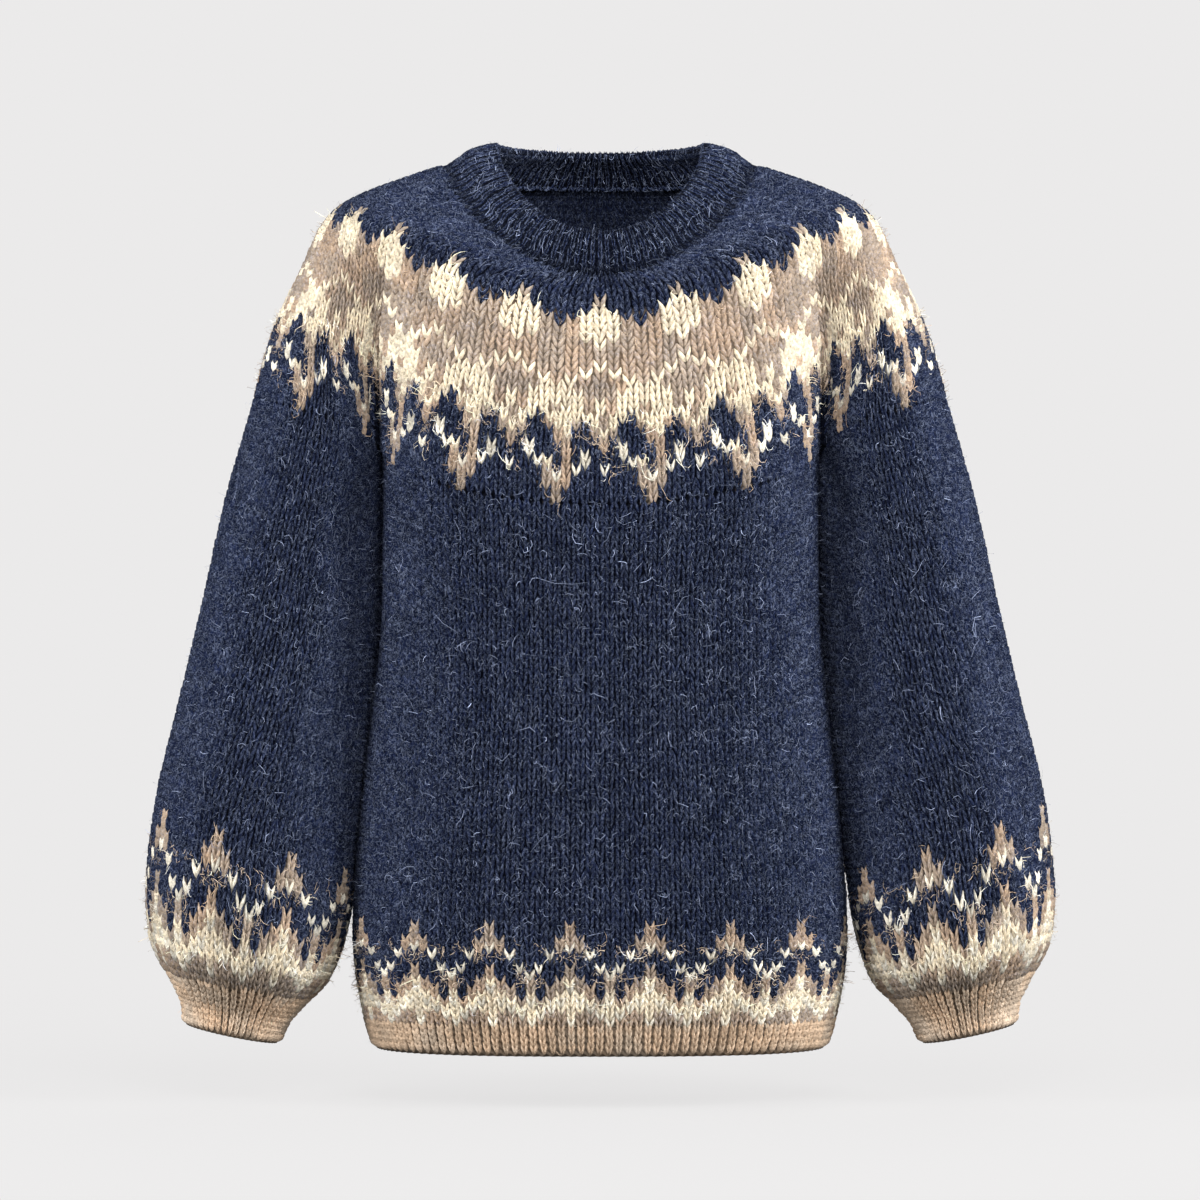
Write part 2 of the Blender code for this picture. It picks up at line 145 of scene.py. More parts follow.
NECK_WALES = 112          # knit ribs round the neckband
NECK_ROUNDS = 15          # its rounds, from its inner seam over its fold to the outer seam
CUFF_WALES = 48           # ribs round a cuff

# ---- charts, each row from the middle of its motif outward ------------------------------
# N navy  F navy with light fibres caught in it  B tan or taupe  G taupe  C cream  W white
YARN_SHADES = {"N": "navy", "F": "navy", "B": "beige", "G": "taupe", "C": "cream", "W": "white"}
NAVY_YARNS = ("N", "F")
YOKE_TOP = ("GNNN", "CNNN", "CCNN", "CCBN", "CCBB", "CCBB", "CBBB", "BBBB", "BBBB",
            "CBBB", "BCBB", "GBCB")                                        # 6 to a repeat
YOKE_MIDDLE = ("GGBCC", "GGCCC", "CBCCC", "CBCCB")                         # 8 to a repeat
YOKE_LOW = ("CCNCCCCCCB", "CNNBCCBFCB", "BNNNBCFNBC", "FNNNBBNNFB", "FWNNFBNNNB",
            "NWNNNBNWNF", "NNWCNBNWNN", "FNNBFBWNNW", "NNNBWBNNNN", "NNNBBBNNNN",
            "NNNNBNNNNN", "NNNNBNNNNN")          # 10 to a repeat, the motif in column 4
YOKE_CLOTH_TURNS = 3      # round at which the cloth under the yoke's stitches turns from navy
PATTERN_DROP = 0.85       # rounds from the pattern's start down to its first row
PATTERN_TURN = 0.45       # wales by which the rows of ten stand to the wearer's left
MIDDLE_STARTS = len(YOKE_TOP)
LOW_STARTS = MIDDLE_STARTS + len(YOKE_MIDDLE)
MIRRORED_CHARTS = {6: (YOKE_TOP, 0), 8: (YOKE_MIDDLE, MIDDLE_STARTS)}
# stitches in a repeat of each zone of the yoke, its first round, and the next zone's first;
# the plain zones over the pattern come last
YOKE_ZONES = ((6, 0, MIDDLE_STARTS), (8, MIDDLE_STARTS, LOW_STARTS),
              (YOKE_STITCHES, LOW_STARTS, YOKE_ROUNDS),
              (6, -4, 0), (5, -9, -4), (4, -YOKE_LEAD, -9))
YOKE_CLOTH_ROWS = (12, 20)    # rows of the yoke's cloth above the pattern and down it
INSIDE_REPEAT = 5         # stitches in a repeat of what shows inside the neck
INSIDE_COLUMNS = 20       # and how many of them lie to each side of the centre back
INSIDE_ROUNDS = 16        # in how many rounds
BAND = ("BNNNN", "BNNNN", "BBNNN", "WBNFN", "FFWNN", "NNNNN", "BNNWN", "BNNFW", "CBNFB",
        "WBBNB", "CCBNC", "CWCBW", "CCWCC", "CBBWC", "WBBBW")              # 8 to a repeat
BAND_WALES = 8            # wales to a motif of the band
BAND_TIP = 5              # first wale of the body or a sleeve that has a motif's tip
BODY_ROWS, SLEEVE_ROWS = 49, 45   # rows of points down the cloth of body and sleeves

# ---- one strand of a stitch: its stations from the foot to the top ----------------------
# across, up, half width: in stitch widths and rounds from the stitch's foot; then the heights
# of its crest and its edges, in metres
STRAND = (
    (0.040, -0.15, 0.070, -0.0004, -0.0019),
    (0.165, 0.34, 0.195, 0.0015, -0.0020),
    (0.325, 1.02, 0.190, 0.0018, -0.0020),
    (0.450, 1.58, 0.045, -0.0001, -0.0016),
)
STRAND_BOW = 0.10         # rounds by which a strand's edges run ahead of its crest and behind it
SWELL = 0.09              # how unevenly thick strands are spun
STRAY = 0.018             # how far a strand strays, in stitch widths
WANDER = 0.03             # how far a stitch wanders, in stitch widths
STRETCH = 0.05            # how unevenly tall stitches are
BOUNCE = 0.00018          # how unevenly high strands lie, in metres
STRAND_TINT = 0.05        # how much the two strands of a stitch differ in shade
PLY_SHIFT = 9             # rounds by which the twist of two strands differs at most
STRAND_PAINTED_SHADE = (0.42, 1.0, 1.06, 0.78)   # painted shade on each station, darkest at the foot and the top end, where strands tuck under others
EDGE_PAINTED_SHADE = 0.74                        # and painted shade on its edges, where two strands press together
STRAND_HAZE = (0.15, 1.0, 1.0, 0.7)      # how much hair shows on each station
EDGE_HAZE = 0.45
PALE_GLOW = 0.5           # how much of those painted shades pale wool keeps, as it lets light through
PALE_LEAST = 0.08         # least red of a pale yarn

# ---- the thin cloth under the stitches --------------------------------------------------
CLOTH_OUT = -0.0013       # height of the cloth's outer face below the stitches
CLOTH_IN = -0.0032        # and of its inner face
CLOTH_SHADE = 0.20        # painted shade on the cloth in the gaps between stitches
INNER_SHADE = 0.8         # and painted shade on its inner face, inside the sweater
CLOTH_HAZE = (0.12, 0.5)  # how much hair shows on its outer and its inner face
FACE_SHARE = 0.49         # share of the unrolled cloth that each face takes up

# ---- the neckband, folded over ----------------------------------------------------------
BAND_THICK = 0.0056       # its thickness, folded
BAND_RISE = -0.0006       # how far it stands out over the ring surface
BAND_PLACE = (2.05, 0.08)     # where on the rings its outer seam and its fold lie
BAND_STEPS = 40           # points down its outer face
TURN_STEPS = 9            # and over its fold
BAND_TUCK = 0.0016        # how deep its outer seam is tucked in
TUCK_WIDTH = 0.13         # and over how much of a ring
SEAM_DITCH = 0.0024       # how deep the yoke sinks at the neckband's seam
DITCH_WIDTH = 0.8         # and over how many rounds

# ---- how unevenly the wool is dyed: sizes of its patches in stitches, then strengths ------
TAN_PATCH, TAN_CONTRAST = 3.1, 1.1                # tan wool with taupe spun in
CREAM_PATCH, CREAM_CONTRAST = 1.8, 0.7            # and cream wool with tan
CREAM_CLEAN, CREAM_MOST = 0.25, 0.5               # patches that stay cream, and the most tan
SHADE_PATCH = 2.3                                 # lighter and darker wool of every yarn
PALE_DRIFT, NAVY_DRIFT = 0.13, 0.10               # from patch to patch
PALE_SPECK, NAVY_SPECK = 0.08, 0.17               # and from stitch to stitch
DRIFT_TABLE = 64                                  # patches each way before they repeat

# ---- seams and ribs ---------------------------------------------------------------------
# painted light and shade near a seam: how light stitches are painted away from it, how much
# painted shade darkens them at it, fading over rounds; inside the neck they are painted dark
# throughout
SEAM_PAINTED_LIGHT = {"neckband": (1.1, 0.7, 0.7), "yoke": (1, 0.85, 1.0), "inside": (0.38, 0.3, 1.2)}
# how stitches differ from the usual: lean, plump, tall and proud scale a strand's place, its
# thickness, its length and its height, wide scales the stitch, and its light factor paints light
# or shade on it
SEAM_ROOM = 0.1           # rounds that the yoke's first stitches stay away from its seam
BAND_EDGE = 0.3           # rounds past the neckband's last one at which its seam lies
BAND_INNER_LIGHT = 0.15   # how much lighter the neckband's inner half is
BAND_STITCH = {"lean": 0.68, "plump": 0.98, "tall": 1.15, "proud": 0.65}
# the row of long stitches that sews the neckband's inner edge down
BAND_SEAM_STITCH = {"tone_and_painted_light": 1.3, "wide": 2, "tall": 0.6, "proud": 1.8}
BAND_SEAM_DROP = 0.2      # rounds by which the inner seam's stitches stand below the rib's
BAND_DIP = 0.0008         # how deep its cloth dips between the ribs
BAND_HEIGHTS = (0.0004, -0.0029)    # heights of its cloth's outer and inner face
RIB_COLUMNS = ("ribs", "rows", "tone_and_painted_light", "lean", "dip")
# the third column lightens the ribs' stitches: partly their lighter tan, partly painted light,
# most on the cuffs, which get little light
RIBS = {
    "hem_band": (BODY_STITCHES, 6, 1.34, 0.68, 0.0012),
    "cuff_left": (CUFF_WALES, 17, 1.95, 0.66, 0.0009),
    "cuff_right": (CUFF_WALES, 17, 1.95, 0.66, 0.0009),
}
RIB_PLUMP = 0.95          # how thick the strands of hem and cuffs are

# ---- loose fibres -----------------------------------------------------------------------
LONG_GLEAM = 1.7          # how much brighter the long fibres of navy are than its short ones
LONG_SHARE = 0.25         # and how many there are to each short one
CURL = 3.4                # how much a fibre bends over its length, in radians
KINK = 0.35               # and from step to step
ARCH = 0.7                # part of a half wave that a fibre rises and falls by
RIPPLE = 0.18             # how unevenly it does
FIBRE_SPREAD = (-0.15, 0.5)   # mean and spread of the logarithm of a fibre's length
FIBRE_ROOT = 0.0006       # height at which a fibre leaves the knit
ROOT_ROUNDS = (-0.1, 1.2)     # how far over a stitch's foot its fibres start
NAVY_TONES = 0.35         # spread of the logarithm of the shades of navy's fibres
PALE_TONES = (0.05, 0.2)      # mean and spread of that of the pale yarns' fibres
TONE_MOST = 0.95          # and the brightest that they get
BORDER_REACH = (1, 2)     # stitches and rounds from navy within which fibres cross a border
FIBRE_TAPER = 0.65        # share of its width that is left at its last step
# length and lift of each kind over the usual, its steps and its thickness over the usual
FIBRE_KINDS = {
    "haze": (0.55, 0.7, 2, 1.0),
    "long": (0.9, 1.2, 3, 1.0),
    "pale": (0.6, 0.8, 2, 1.0),
    "border": (0.65, 1.4, 3, 1.6),
    "tangle": (0.7, 0.9, 3, 1.3),
}
CAUGHT_GLOW = 1.25        # how much brighter than taupe the pale wool caught in navy is
BORDER_GLOW = 1.3         # and how much brighter than their yarn those two kinds are
TANGLE_GLOW = 1.2

# ---- the largest folds: each a soft trough (-) or ridge (+) -----------------------------
# from (wale, round) to (wale, round), half width in wales, height in metres
FOLD_COLUMNS = ("wale", "round", "end_wale", "end_round", "half_width", "height")
BODY_FOLDS = (
    (-27, -1, -19, 17, 4.0, -0.0035), (27, -1, 21, 14, 3.6, -0.0030),
    (-20, 20, -21, 52, 5.0, -0.0036), (-13, 30, -12, 60, 4.5, 0.0020),
    (18, 26, 20, 58, 5.2, -0.0032), (10, 36, 9, 63, 4.0, 0.0018),
    (2, 44, 4, 66, 4.5, -0.0022), (-6, 50, -7, 68, 3.5, -0.0016),
    (26, 34, 27, 60, 3.5, 0.0020), (-28, 30, -28, 58, 3.5, 0.0018),
    (43, -1, 50, 19, 4.2, -0.0034), (93, -1, 86, 15, 3.8, -0.0036),
    (52, 22, 51, 56, 5.0, -0.0034), (60, 30, 61, 62, 4.6, 0.0022),
    (84, 24, 85, 54, 5.2, -0.0030), (76, 34, 77, 64, 4.2, 0.0018),
    (68, 40, 67, 66, 4.8, -0.0024), (90, 36, 91, 60, 3.6, 0.0018),
    (-33.5, 2, -33.5, 26, 3.5, -0.0045), (33, 6, 33.5, 22, 3.0, -0.0015),
)
SLEEVE_FOLDS = (
    (8, 0, 13, 16, 3.0, -0.0040), (14, 8, 18, 30, 3.4, -0.0030),
    (9, 22, 11, 44, 3.4, -0.0034), (20, 26, 19, 48, 3.6, 0.0022),
    (15, 38, 16, 58, 3.2, -0.0030), (24, 34, 26, 56, 3.0, -0.0022),
    (56, 0, 51, 18, 3.0, -0.0038), (50, 10, 46, 32, 3.4, -0.0028),
    (55, 24, 53, 46, 3.4, -0.0034), (44, 30, 45, 52, 3.6, 0.0022),
    (48, 40, 48, 60, 3.2, -0.0028), (36, 28, 38, 50, 3.6, -0.0020),
    (12, 52, 12, 66, 2.2, -0.0030), (20, 54, 20, 66, 2.0, -0.0026),
    (28, 53, 28, 66, 2.2, -0.0030), (37, 54, 37, 66, 2.1, -0.0026),
    (46, 53, 46, 66, 2.2, -0.0030), (54, 54, 54, 66, 2.0, -0.0026),
    (58, 0, 58, 55, 3.8, 0.0125), (7, 4, 8, 46, 4.5, -0.0050),
)
YOKE_FOLDS = (
    (27, 16, 25, 28, 3.5, -0.0026), (193, 17, 195, 28, 3.3, -0.0028),
    (83, 16, 85, 28, 3.5, -0.0028), (137, 17, 135, 28, 3.3, -0.0026),
    (12, 18, 13, 29, 4.5, 0.0014), (206, 18, 207, 29, 4.5, 0.0012),
    (38, 8, 36, 27, 3.2, -0.0024), (182, 8, 184, 27, 3.0, -0.0022),
    (50, 10, 52, 28, 3.8, 0.0014), (170, 10, 168, 28, 3.8, 0.0014),
    (72, 10, 73, 27, 3.2, -0.0024), (148, 10, 147, 27, 3.0, -0.0024),
    (101, 12, 99, 28, 4.5, -0.0018), (121, 14, 122, 29, 4.5, -0.0016),
    (31.6, 11, 31.4, 31, 1.5, -0.0050), (188.4, 11, 188.6, 31, 1.5, -0.0050),
    (78.4, 12, 78.6, 31, 1.5, -0.0048), (141.6, 11, 141.4, 31, 1.5, -0.0048),
    (28.6, 13, 28.4, 31, 1.7, 0.0016), (191.4, 13, 191.6, 31, 1.7, 0.0016),
    (81.4, 14, 81.5, 31, 1.7, 0.0014), (138.6, 13, 138.5, 31, 1.7, 0.0014),
)
FOLD_FADE = 4             # rounds past a fold's ends over which it dies out
FOLD_START = 0.15         # part of a half wave at which a fold's height starts
FOLD_SPAN = 0.7           # and how much of the half wave it runs through
# how far the right sleeve's folds stand from the left one's, and how much wider and higher
RIGHT_FOLD_SHIFT = (-0.8, 3.0, -0.8, 2.0, 0.3, 0.0003)

# ---- the seed of each piece's uneven wool -----------------------------------------------
SEEDS = {
    "neckband": 11, "yoke": 22, "body_front": 33, "body_back": 34, "hem_band": 55,
    "sleeve_left": 66, "sleeve_right": 67, "cuff_left": 77, "cuff_right": 78,
}

# ---- each piece's finish ----------------------------------------------------------------
FINISH_COLUMNS = ("sheen", "sheen_tint", "hair_colour", "hair", "mottle", "twist")
NAVY_FINISH = (0.015, (0.45, 0.52, 0.68), (0.115, 0.138, 0.200), 0.90, 0.75, 0.35)
BEIGE_FINISH = (0.04, (0.85, 0.78, 0.68), (0.12, 0.10, 0.08), 0.60, 0.45, 0.35)
FINISHES = {
    "neckband": NAVY_FINISH, "yoke": NAVY_FINISH, "body_front": NAVY_FINISH,
    "body_back": NAVY_FINISH, "hem_band": BEIGE_FINISH, "sleeve_left": NAVY_FINISH,
    "sleeve_right": NAVY_FINISH, "cuff_left": BEIGE_FINISH, "cuff_right": BEIGE_FINISH,
}
SHEEN_ROUGHNESS = 0.55
GLOSS = 0.02              # wool hardly shines
CLOUDS = (430, 3, 0.6)    # scale, detail and roughness of the yarn's mottled shades
CLOUD_CONTRAST = 2.4
PATCHES = (150, 2, 0.6)   # and of the patches that hairs gather in
PATCH_CONTRAST, PATCH_LEVEL = 2.6, -0.45
# two sizes of curly hairs: scale, how thin they are, how curly, and a shift between the two
HAIR_CURLS = ((165, 17.0, 2.4, 0.0), (240, 20.0, 1.8, 3.1))
UNDER_HAIR = 0.9          # how much of the yarn's colour shows through its hairs
HAIR_RELIEF = 0.8
PLY_TURNS = 2.2           # turns of the plies to a round
WOOL_ROUGHNESS, CLOUD_ROUGHNESS = 0.95, -0.12
PURL_WAVE = 0.22          # how far the purl side's bars wave up and down, in rounds
BUMP_STRENGTH = 0.6
STITCH_BUMP, CLOTH_BUMP = 0.0004, 0.0012
CLOTH_FUZZ = 0.25         # how much of the wool's relief shows on the cloth's bars

# ---- the studio -------------------------------------------------------------------------
# each light's place, its size and the stage's value that holds its power
LIGHTS = {
    "key_light": ((2.3, -1.35, 0.75), 1.1, "key_power"),
    "fill_light": ((-2.3, -1.35, 0.65), 1.1, "fill_power"),
    "front_light": ((0.2, -2.9, 1.1), 1.2, "front_power"),
    "back_light": ((0.5, 2.9, 1.0), 1.6, "back_power"),
}
FLOOR_FADE = (0.25, 0.95)     # shares of the floor's radius between which it fades away
FLOOR_SIDES = 96
SENSOR_WIDTH = 36         # of the camera, in millimetres
MIX_FIRST, MIX_SECOND, MIX_RESULT = 6, 7, 2   # places of a Mix node's colours among its sockets


# ---- rings: the surface that the pieces are knitted on -----------------------------------
def row(columns, values):
    """One table row as a dictionary with the table's column names."""
    return dict(zip(columns, values))


def oval(u, ring):
    """A neck or yoke ring at repeats u: an oval whose front hangs lower than its sides."""
    angle = 2 * math.pi * u / REPEATS
    sine, cosine = np.sin(angle), np.cos(angle)
    is_front = cosine > 0
    depth = np.where(is_front, ring["front"], ring["back"])
    fall = np.where(is_front, ring["z_front"], ring["z_back"]) - ring["z_side"]
    z = ring["z_side"] + fall * np.abs(cosine) ** ring["droop"]
    return np.stack([ring["half_width"] * sine, -depth * cosine, z], -1)


def body_girth(s, ring):
    """x and y of a body ring at s, the share of the way round from the centre front."""
    t = np.linspace(0, math.pi / 2, GIRTH_STEPS)
    power = 2 / ring["squareness"]
    quarter = np.mod(s, 0.5)
    quarter = np.where(quarter > 0.25, 0.5 - quarter, quarter) / 0.25
    turned = np.mod(s, 1.0)
    right = turned < 0.5
    front = (turned < 0.25) | (turned > 0.75)
    points = []
    for depth in (ring["front"], ring["back"]):
        x = ring["half_width"] * np.sin(t) ** power
        y = depth * np.cos(t) ** power
        along = np.concatenate([[0], np.cumsum(np.hypot(np.diff(x), np.diff(y)))])
        share = along / along[-1]
        points.append((np.interp(quarter, share, x), np.interp(quarter, share, y)))
    x = np.where(front, points[0][0], points[1][0])
    y = np.where(front, -points[0][1], points[1][1])
    return np.where(right, x, -x), y


def base_height(u):
    """Height of the yoke's base at repeats u."""
    cosine = np.cos(2 * math.pi * u / REPEATS)
    fall = np.where(cosine > 0, BASE_Z["front"], BASE_Z["back"]) - BASE_Z["side"]
    return BASE_Z["side"] + fall * np.abs(cosine) ** BASE_Z["droop"]


def fold_half(s):
    """Share of the way round folded to one half: 0 at the start, 0.5 opposite it."""
    turned = np.mod(s, 1.0)
    return np.where(turned > 0.5, 1 - turned, turned)


def fold_yoke(u):
    """Repeats u counted from the centre front on either side, and whether on the right."""
    turned = np.mod(u, REPEATS)
    is_right = turned > REPEATS / 2
    return np.where(is_right, REPEATS - turned, turned), is_right


def body_share(half):
    """Share of the way round the body under the yoke's repeats, counted on either side."""
    from_middle = np.minimum(half, REPEATS / 2 - half) * YOKE_STITCHES / BODY_STITCHES
    return np.where(half < QUARTER, from_middle, 0.5 - from_middle)


def sleeve_share(half):
    """Share of the way round a sleeve under the yoke's repeats, counted on either side."""
    return np.clip((SLEEVE_UNDERARM + (half - SPLIT) * YOKE_STITCHES) / SLEEVE_STITCHES, 0, 1)


def body_repeats(s):
    """The yoke's repeats over the body at s, held at the corners under the arm."""
    half = fold_half(s)
    u = np.minimum(np.minimum(half, 0.5 - half) * BODY_STITCHES / YOKE_STITCHES, SPLIT)
    return np.where(half < 0.25, u, REPEATS / 2 - u)


def sleeve_repeats(s):
    """The yoke's repeats over a sleeve at s, held at the corners under the arm."""
    u = SPLIT + np.clip(fold_half(s) - SLEEVE_CORNER, 0, None) * SLEEVE_STITCHES / YOKE_STITCHES
    return np.where(np.mod(s, 1.0) > 0.5, REPEATS / 2 - u, u)


def body_across(s):
    """0 at the body's front corner under the arm, 1 at its back corner, held beyond them."""
    return np.clip((fold_half(s) - BODY_CORNER) / (0.5 - 2 * BODY_CORNER), 0, 1)


def sleeve_across(s):
    """0 at a sleeve's front corner under the arm, 1 at its back corner, held beyond them."""
    signed = np.where(np.mod(s, 1.0) > 0.5, fold_half(s), -fold_half(s))
    return np.clip((1 + signed / SLEEVE_CORNER) / 2, 0, 1)


def underarm_height(across):
    """Height of the seam under the arm, from the front corner to the back corner."""
    front, back = base_height(SPLIT), base_height(REPEATS / 2 - SPLIT)
    return front + (back - front) * across


def body_base(s):
    """The body's top ring: the yoke's base, and a straight underarm between the corners."""
    x, y = body_girth(s, row(BODY_COLUMNS, BODY_RINGS["base"]))
    across = body_across(s)
    under = (across > 0) & (across < 1)
    z = np.where(under, underarm_height(across), base_height(body_repeats(s)))
    return np.stack([x, y, z], -1)


def sleeve_turn(s):
    """Angle round a sleeve's top ring at s: its stitches follow the yoke's repeats."""
    half = fold_half(s)
    lobe = np.clip((half - SLEEVE_CORNER) / (0.5 - SLEEVE_CORNER), 0, 1) ** LOBE_POWER
    angle = UNDERARM_ANGLE + (math.pi - UNDERARM_ANGLE) * lobe
    angle = np.where(half < SLEEVE_CORNER, UNDERARM_ANGLE * half / SLEEVE_CORNER, angle)
    return np.where(s > 0.5, 2 * math.pi - angle, angle)


def sleeve_ring(s, ring):
    """A ring of the +X sleeve at s: 0 at the inner side, then front, outer side and back."""
    s = np.mod(s, 1.0)
    angle = ring["turn"] * sleeve_turn(s) + (1 - ring["turn"]) * 2 * math.pi * s
    middle = (ring["outer_x"] + ring["inner_x"]) / 2
    radius = (ring["outer_x"] - ring["inner_x"]) / 2
    x = middle - radius * np.cos(angle)
    y = ring["y"] - ring["half_depth"] * np.sin(angle)
    if ring["outer_z"] is not None:
        share = (1 - np.cos(angle)) / 2
        return np.stack([x, y, ring["inner_z"] + (ring["outer_z"] - ring["inner_z"]) * share], -1)
    z = np.where(fold_half(s) < SLEEVE_CORNER, underarm_height(sleeve_across(s)),
                 base_height(sleeve_repeats(s)))
    return np.stack([x, y, z], -1)


def yoke_base(u):
    """The yoke's lowest ring at repeats u: body arcs, and a lobe for each sleeve."""
    half, is_right = fold_yoke(u)
    body = body_base(body_share(half))
    sleeve = sleeve_ring(sleeve_share(half), row(SLEEVE_COLUMNS, SLEEVE_RINGS["base"]))
    away = np.minimum(half, REPEATS / 2 - half) - SPLIT
    t = np.clip((away / CORNER_BLEND + 1) / 2, 0, 1)
    share = (3 * t**2 - 2 * t**3)[..., None]
    points = (1 - share) * body + share * sleeve
    points[..., 0] = np.where(is_right, -points[..., 0], points[..., 0])
    return points


def yoke_rings(u):
    """The yoke's five rings at repeats u, from the neck seam down to the base."""
    seam = oval(u, row(NECK_COLUMNS, NECK_RINGS["neck_seam"]))
    start = oval(u, row(NECK_COLUMNS, NECK_RINGS["pattern_start"]))
    base = yoke_base(u)
    angle = 2 * math.pi * u / REPEATS
    outward = np.stack([np.sin(angle) * YOKE_BULGE["side"],
                        -np.cos(angle) * YOKE_BULGE["front"], np.zeros_like(angle)], -1)
    between = [start + (base - start) * t + outward * 4 * t * (1 - t) for t in (1 / 3, 2 / 3)]
    return [seam, start, *between, base]


# ---- surfaces: a smooth curve through the rings, down every column ------------------------
def through(rings, v):
    """Points at v, where ring k lies at v = k, on a curve that passes through each ring."""
    rings = np.stack(rings)
    last = len(rings) - 1
    k = np.clip(np.floor(v).astype(int), 0, last - 1)
    t = (v - k)[:, None, None]
    before, start, end, after = (rings[np.clip(k + i, 0, last)] for i in (-1, 0, 1, 2))
    slope_start = np.where((k > 0)[:, None, None], (end - before) / 2, end - start)
    slope_end = np.where((k < last - 1)[:, None, None], (after - start) / 2, end - start)
    return ((2 * t**3 - 3 * t**2 + 1) * start + (t**3 - 2 * t**2 + t) * slope_start
            + (3 * t**2 - 2 * t**3) * end + (t**3 - t**2) * slope_end)


def yoke_columns(u):
    """The rings of each column from the neck's fold down, and one that it runs on into."""
    half, is_right = fold_yoke(u)
    chest = body_ring(body_share(half), "chest")
    upper = sleeve_ring(sleeve_share(half), row(SLEEVE_COLUMNS, SLEEVE_RINGS["upper"]))
    is_sleeve = np.minimum(half, REPEATS / 2 - half) > SPLIT
    below = np.where(is_sleeve[..., None], upper, chest)
    below[..., 0] = np.where(is_right, -below[..., 0], below[..., 0])
    neck = [oval(u, row(NECK_COLUMNS, NECK_RINGS[name])) for name in ("neck_edge", "neck_middle")]
    return neck + yoke_rings(u) + [below]


def body_ring(s, name):
    """A level ring of the body."""
    ring = row(BODY_COLUMNS, BODY_RINGS[name])
    x, y = body_girth(s, ring)
    return np.stack([x, y, np.full_like(x, ring["z"])], -1)


def lead_in(base, u, across):
    """The ring above a base ring: the yoke's own, and over an underarm one turned with it."""
    rings = yoke_rings(u)
    corners = yoke_rings(np.array([SPLIT, REPEATS / 2 - SPLIT]))
    front, back = corners[-2] - corners[-1]
    under = (across > 0) & (across < 1)
    offset = np.where(under[..., None], front + (back - front) * across[..., None],
                      rings[-2] - rings[-1])
    return base + offset


def body_columns(s):
    """The body's rings from its base down, with the yoke ring above to lead into them."""
    half = fold_half(s)
    base = body_base(half)
    rings = [lead_in(base, body_repeats(half), body_across(half)), base]
    rings += [body_ring(half, name) for name in list(BODY_RINGS)[1:]]
    mirror = np.where(np.mod(s, 1.0) > 0.5, -1.0, 1.0)[..., None]
    return [ring * np.concatenate([mirror, np.ones_like(ring[..., 1:])], -1) for ring in rings]


def sleeve_columns(s):
    """The +X sleeve's rings from its base down, with the yoke ring above them."""
    rings = [sleeve_ring(s, row(SLEEVE_COLUMNS, values)) for values in SLEEVE_RINGS.values()]
    return [lead_in(rings[0], sleeve_repeats(s), sleeve_across(s))] + rings


# ---- fabrics ----------------------------------------------------------------------------
class Fabric:
    """A knitted surface, as points on an even grid of wales and rounds."""

    def __init__(self, points, first_wale, first_round):
        self.points = points
        self.first = (first_wale, first_round)
        self.outward = outward_of(points)

    def at(self, wale, round_, height):
        """Points at these wales and rounds, standing off the surface by height."""
        x = np.clip((wale - self.first[0]) * FINE_WALE, 0, self.points.shape[1] - 1.001)
        y = np.clip((round_ - self.first[1]) * FINE_ROUND, 0, self.points.shape[0] - 1.001)
        i, j = y.astype(int), x.astype(int)
        v, u = (y - i)[..., None], (x - j)[..., None]

        def blend(grid):
            top = grid[i, j] * (1 - u) + grid[i, j + 1] * u
            foot = grid[i + 1, j] * (1 - u) + grid[i + 1, j + 1] * u
            return top * (1 - v) + foot * v

        outward = blend(self.outward)
        outward /= np.linalg.norm(outward, axis=-1, keepdims=True)
        return blend(self.points) + outward * np.asarray(height)[..., None]

    def folded(self, folds, around):
        """The same fabric with its large folds pushed in; around is its number of wales."""
        rounds, wales = self.points.shape[:2]
        wale = self.first[0] + np.arange(wales) / FINE_WALE
        round_ = (self.first[1] + np.arange(rounds) / FINE_ROUND)[:, None]
        height = np.zeros((rounds, wales))
        for values in folds:
            fold = row(FOLD_COLUMNS, values)
            run = fold["end_round"] - fold["round"]
            share = np.clip((round_ - fold["round"]) / run, 0, 1)
            middle = fold["wale"] + (fold["end_wale"] - fold["wale"]) * share
            across = np.mod(wale - middle + around / 2, around) - around / 2
            across = across / fold["half_width"]
            beyond = np.maximum(fold["round"] - round_, round_ - fold["end_round"]) / FOLD_FADE
            along = np.sin(math.pi * (FOLD_START + FOLD_SPAN * share))
            along = along * np.exp(-np.clip(beyond, 0, None) ** 2)
            height += fold["height"] * along * np.exp(-across ** 2)
        return Fabric(self.points + self.outward * height[..., None], *self.first)

    def inside_out(self, depth):
        """The fabric's other face, depth further in, with its stitches facing inward."""
        points = (self.points - self.outward * depth)[:, ::-1]
        last = self.first[0] + (points.shape[1] - 1) / FINE_WALE
        return Fabric(points, -last, self.first[1])


def outward_of(points):
    """Unit outward directions of a grid whose rows go down and columns to the wearer's left."""
    outward = np.cross(np.gradient(points, axis=0), np.gradient(points, axis=1))
    return outward / np.linalg.norm(outward, axis=-1, keepdims=True)


def fine_wales(first, last):
    """Places of a fabric's columns from its first wale to its last, and OVERLAP past both."""
    return np.arange((first - OVERLAP) * FINE_WALE, (last + OVERLAP) * FINE_WALE + 1) / FINE_WALE


def measure(line):
    """The steps down each column of points, and the distance down it to each point."""
    steps = np.linalg.norm(np.diff(line, axis=0), axis=-1)
    return steps, np.concatenate([np.zeros((1, steps.shape[1])), np.cumsum(steps, axis=0)])


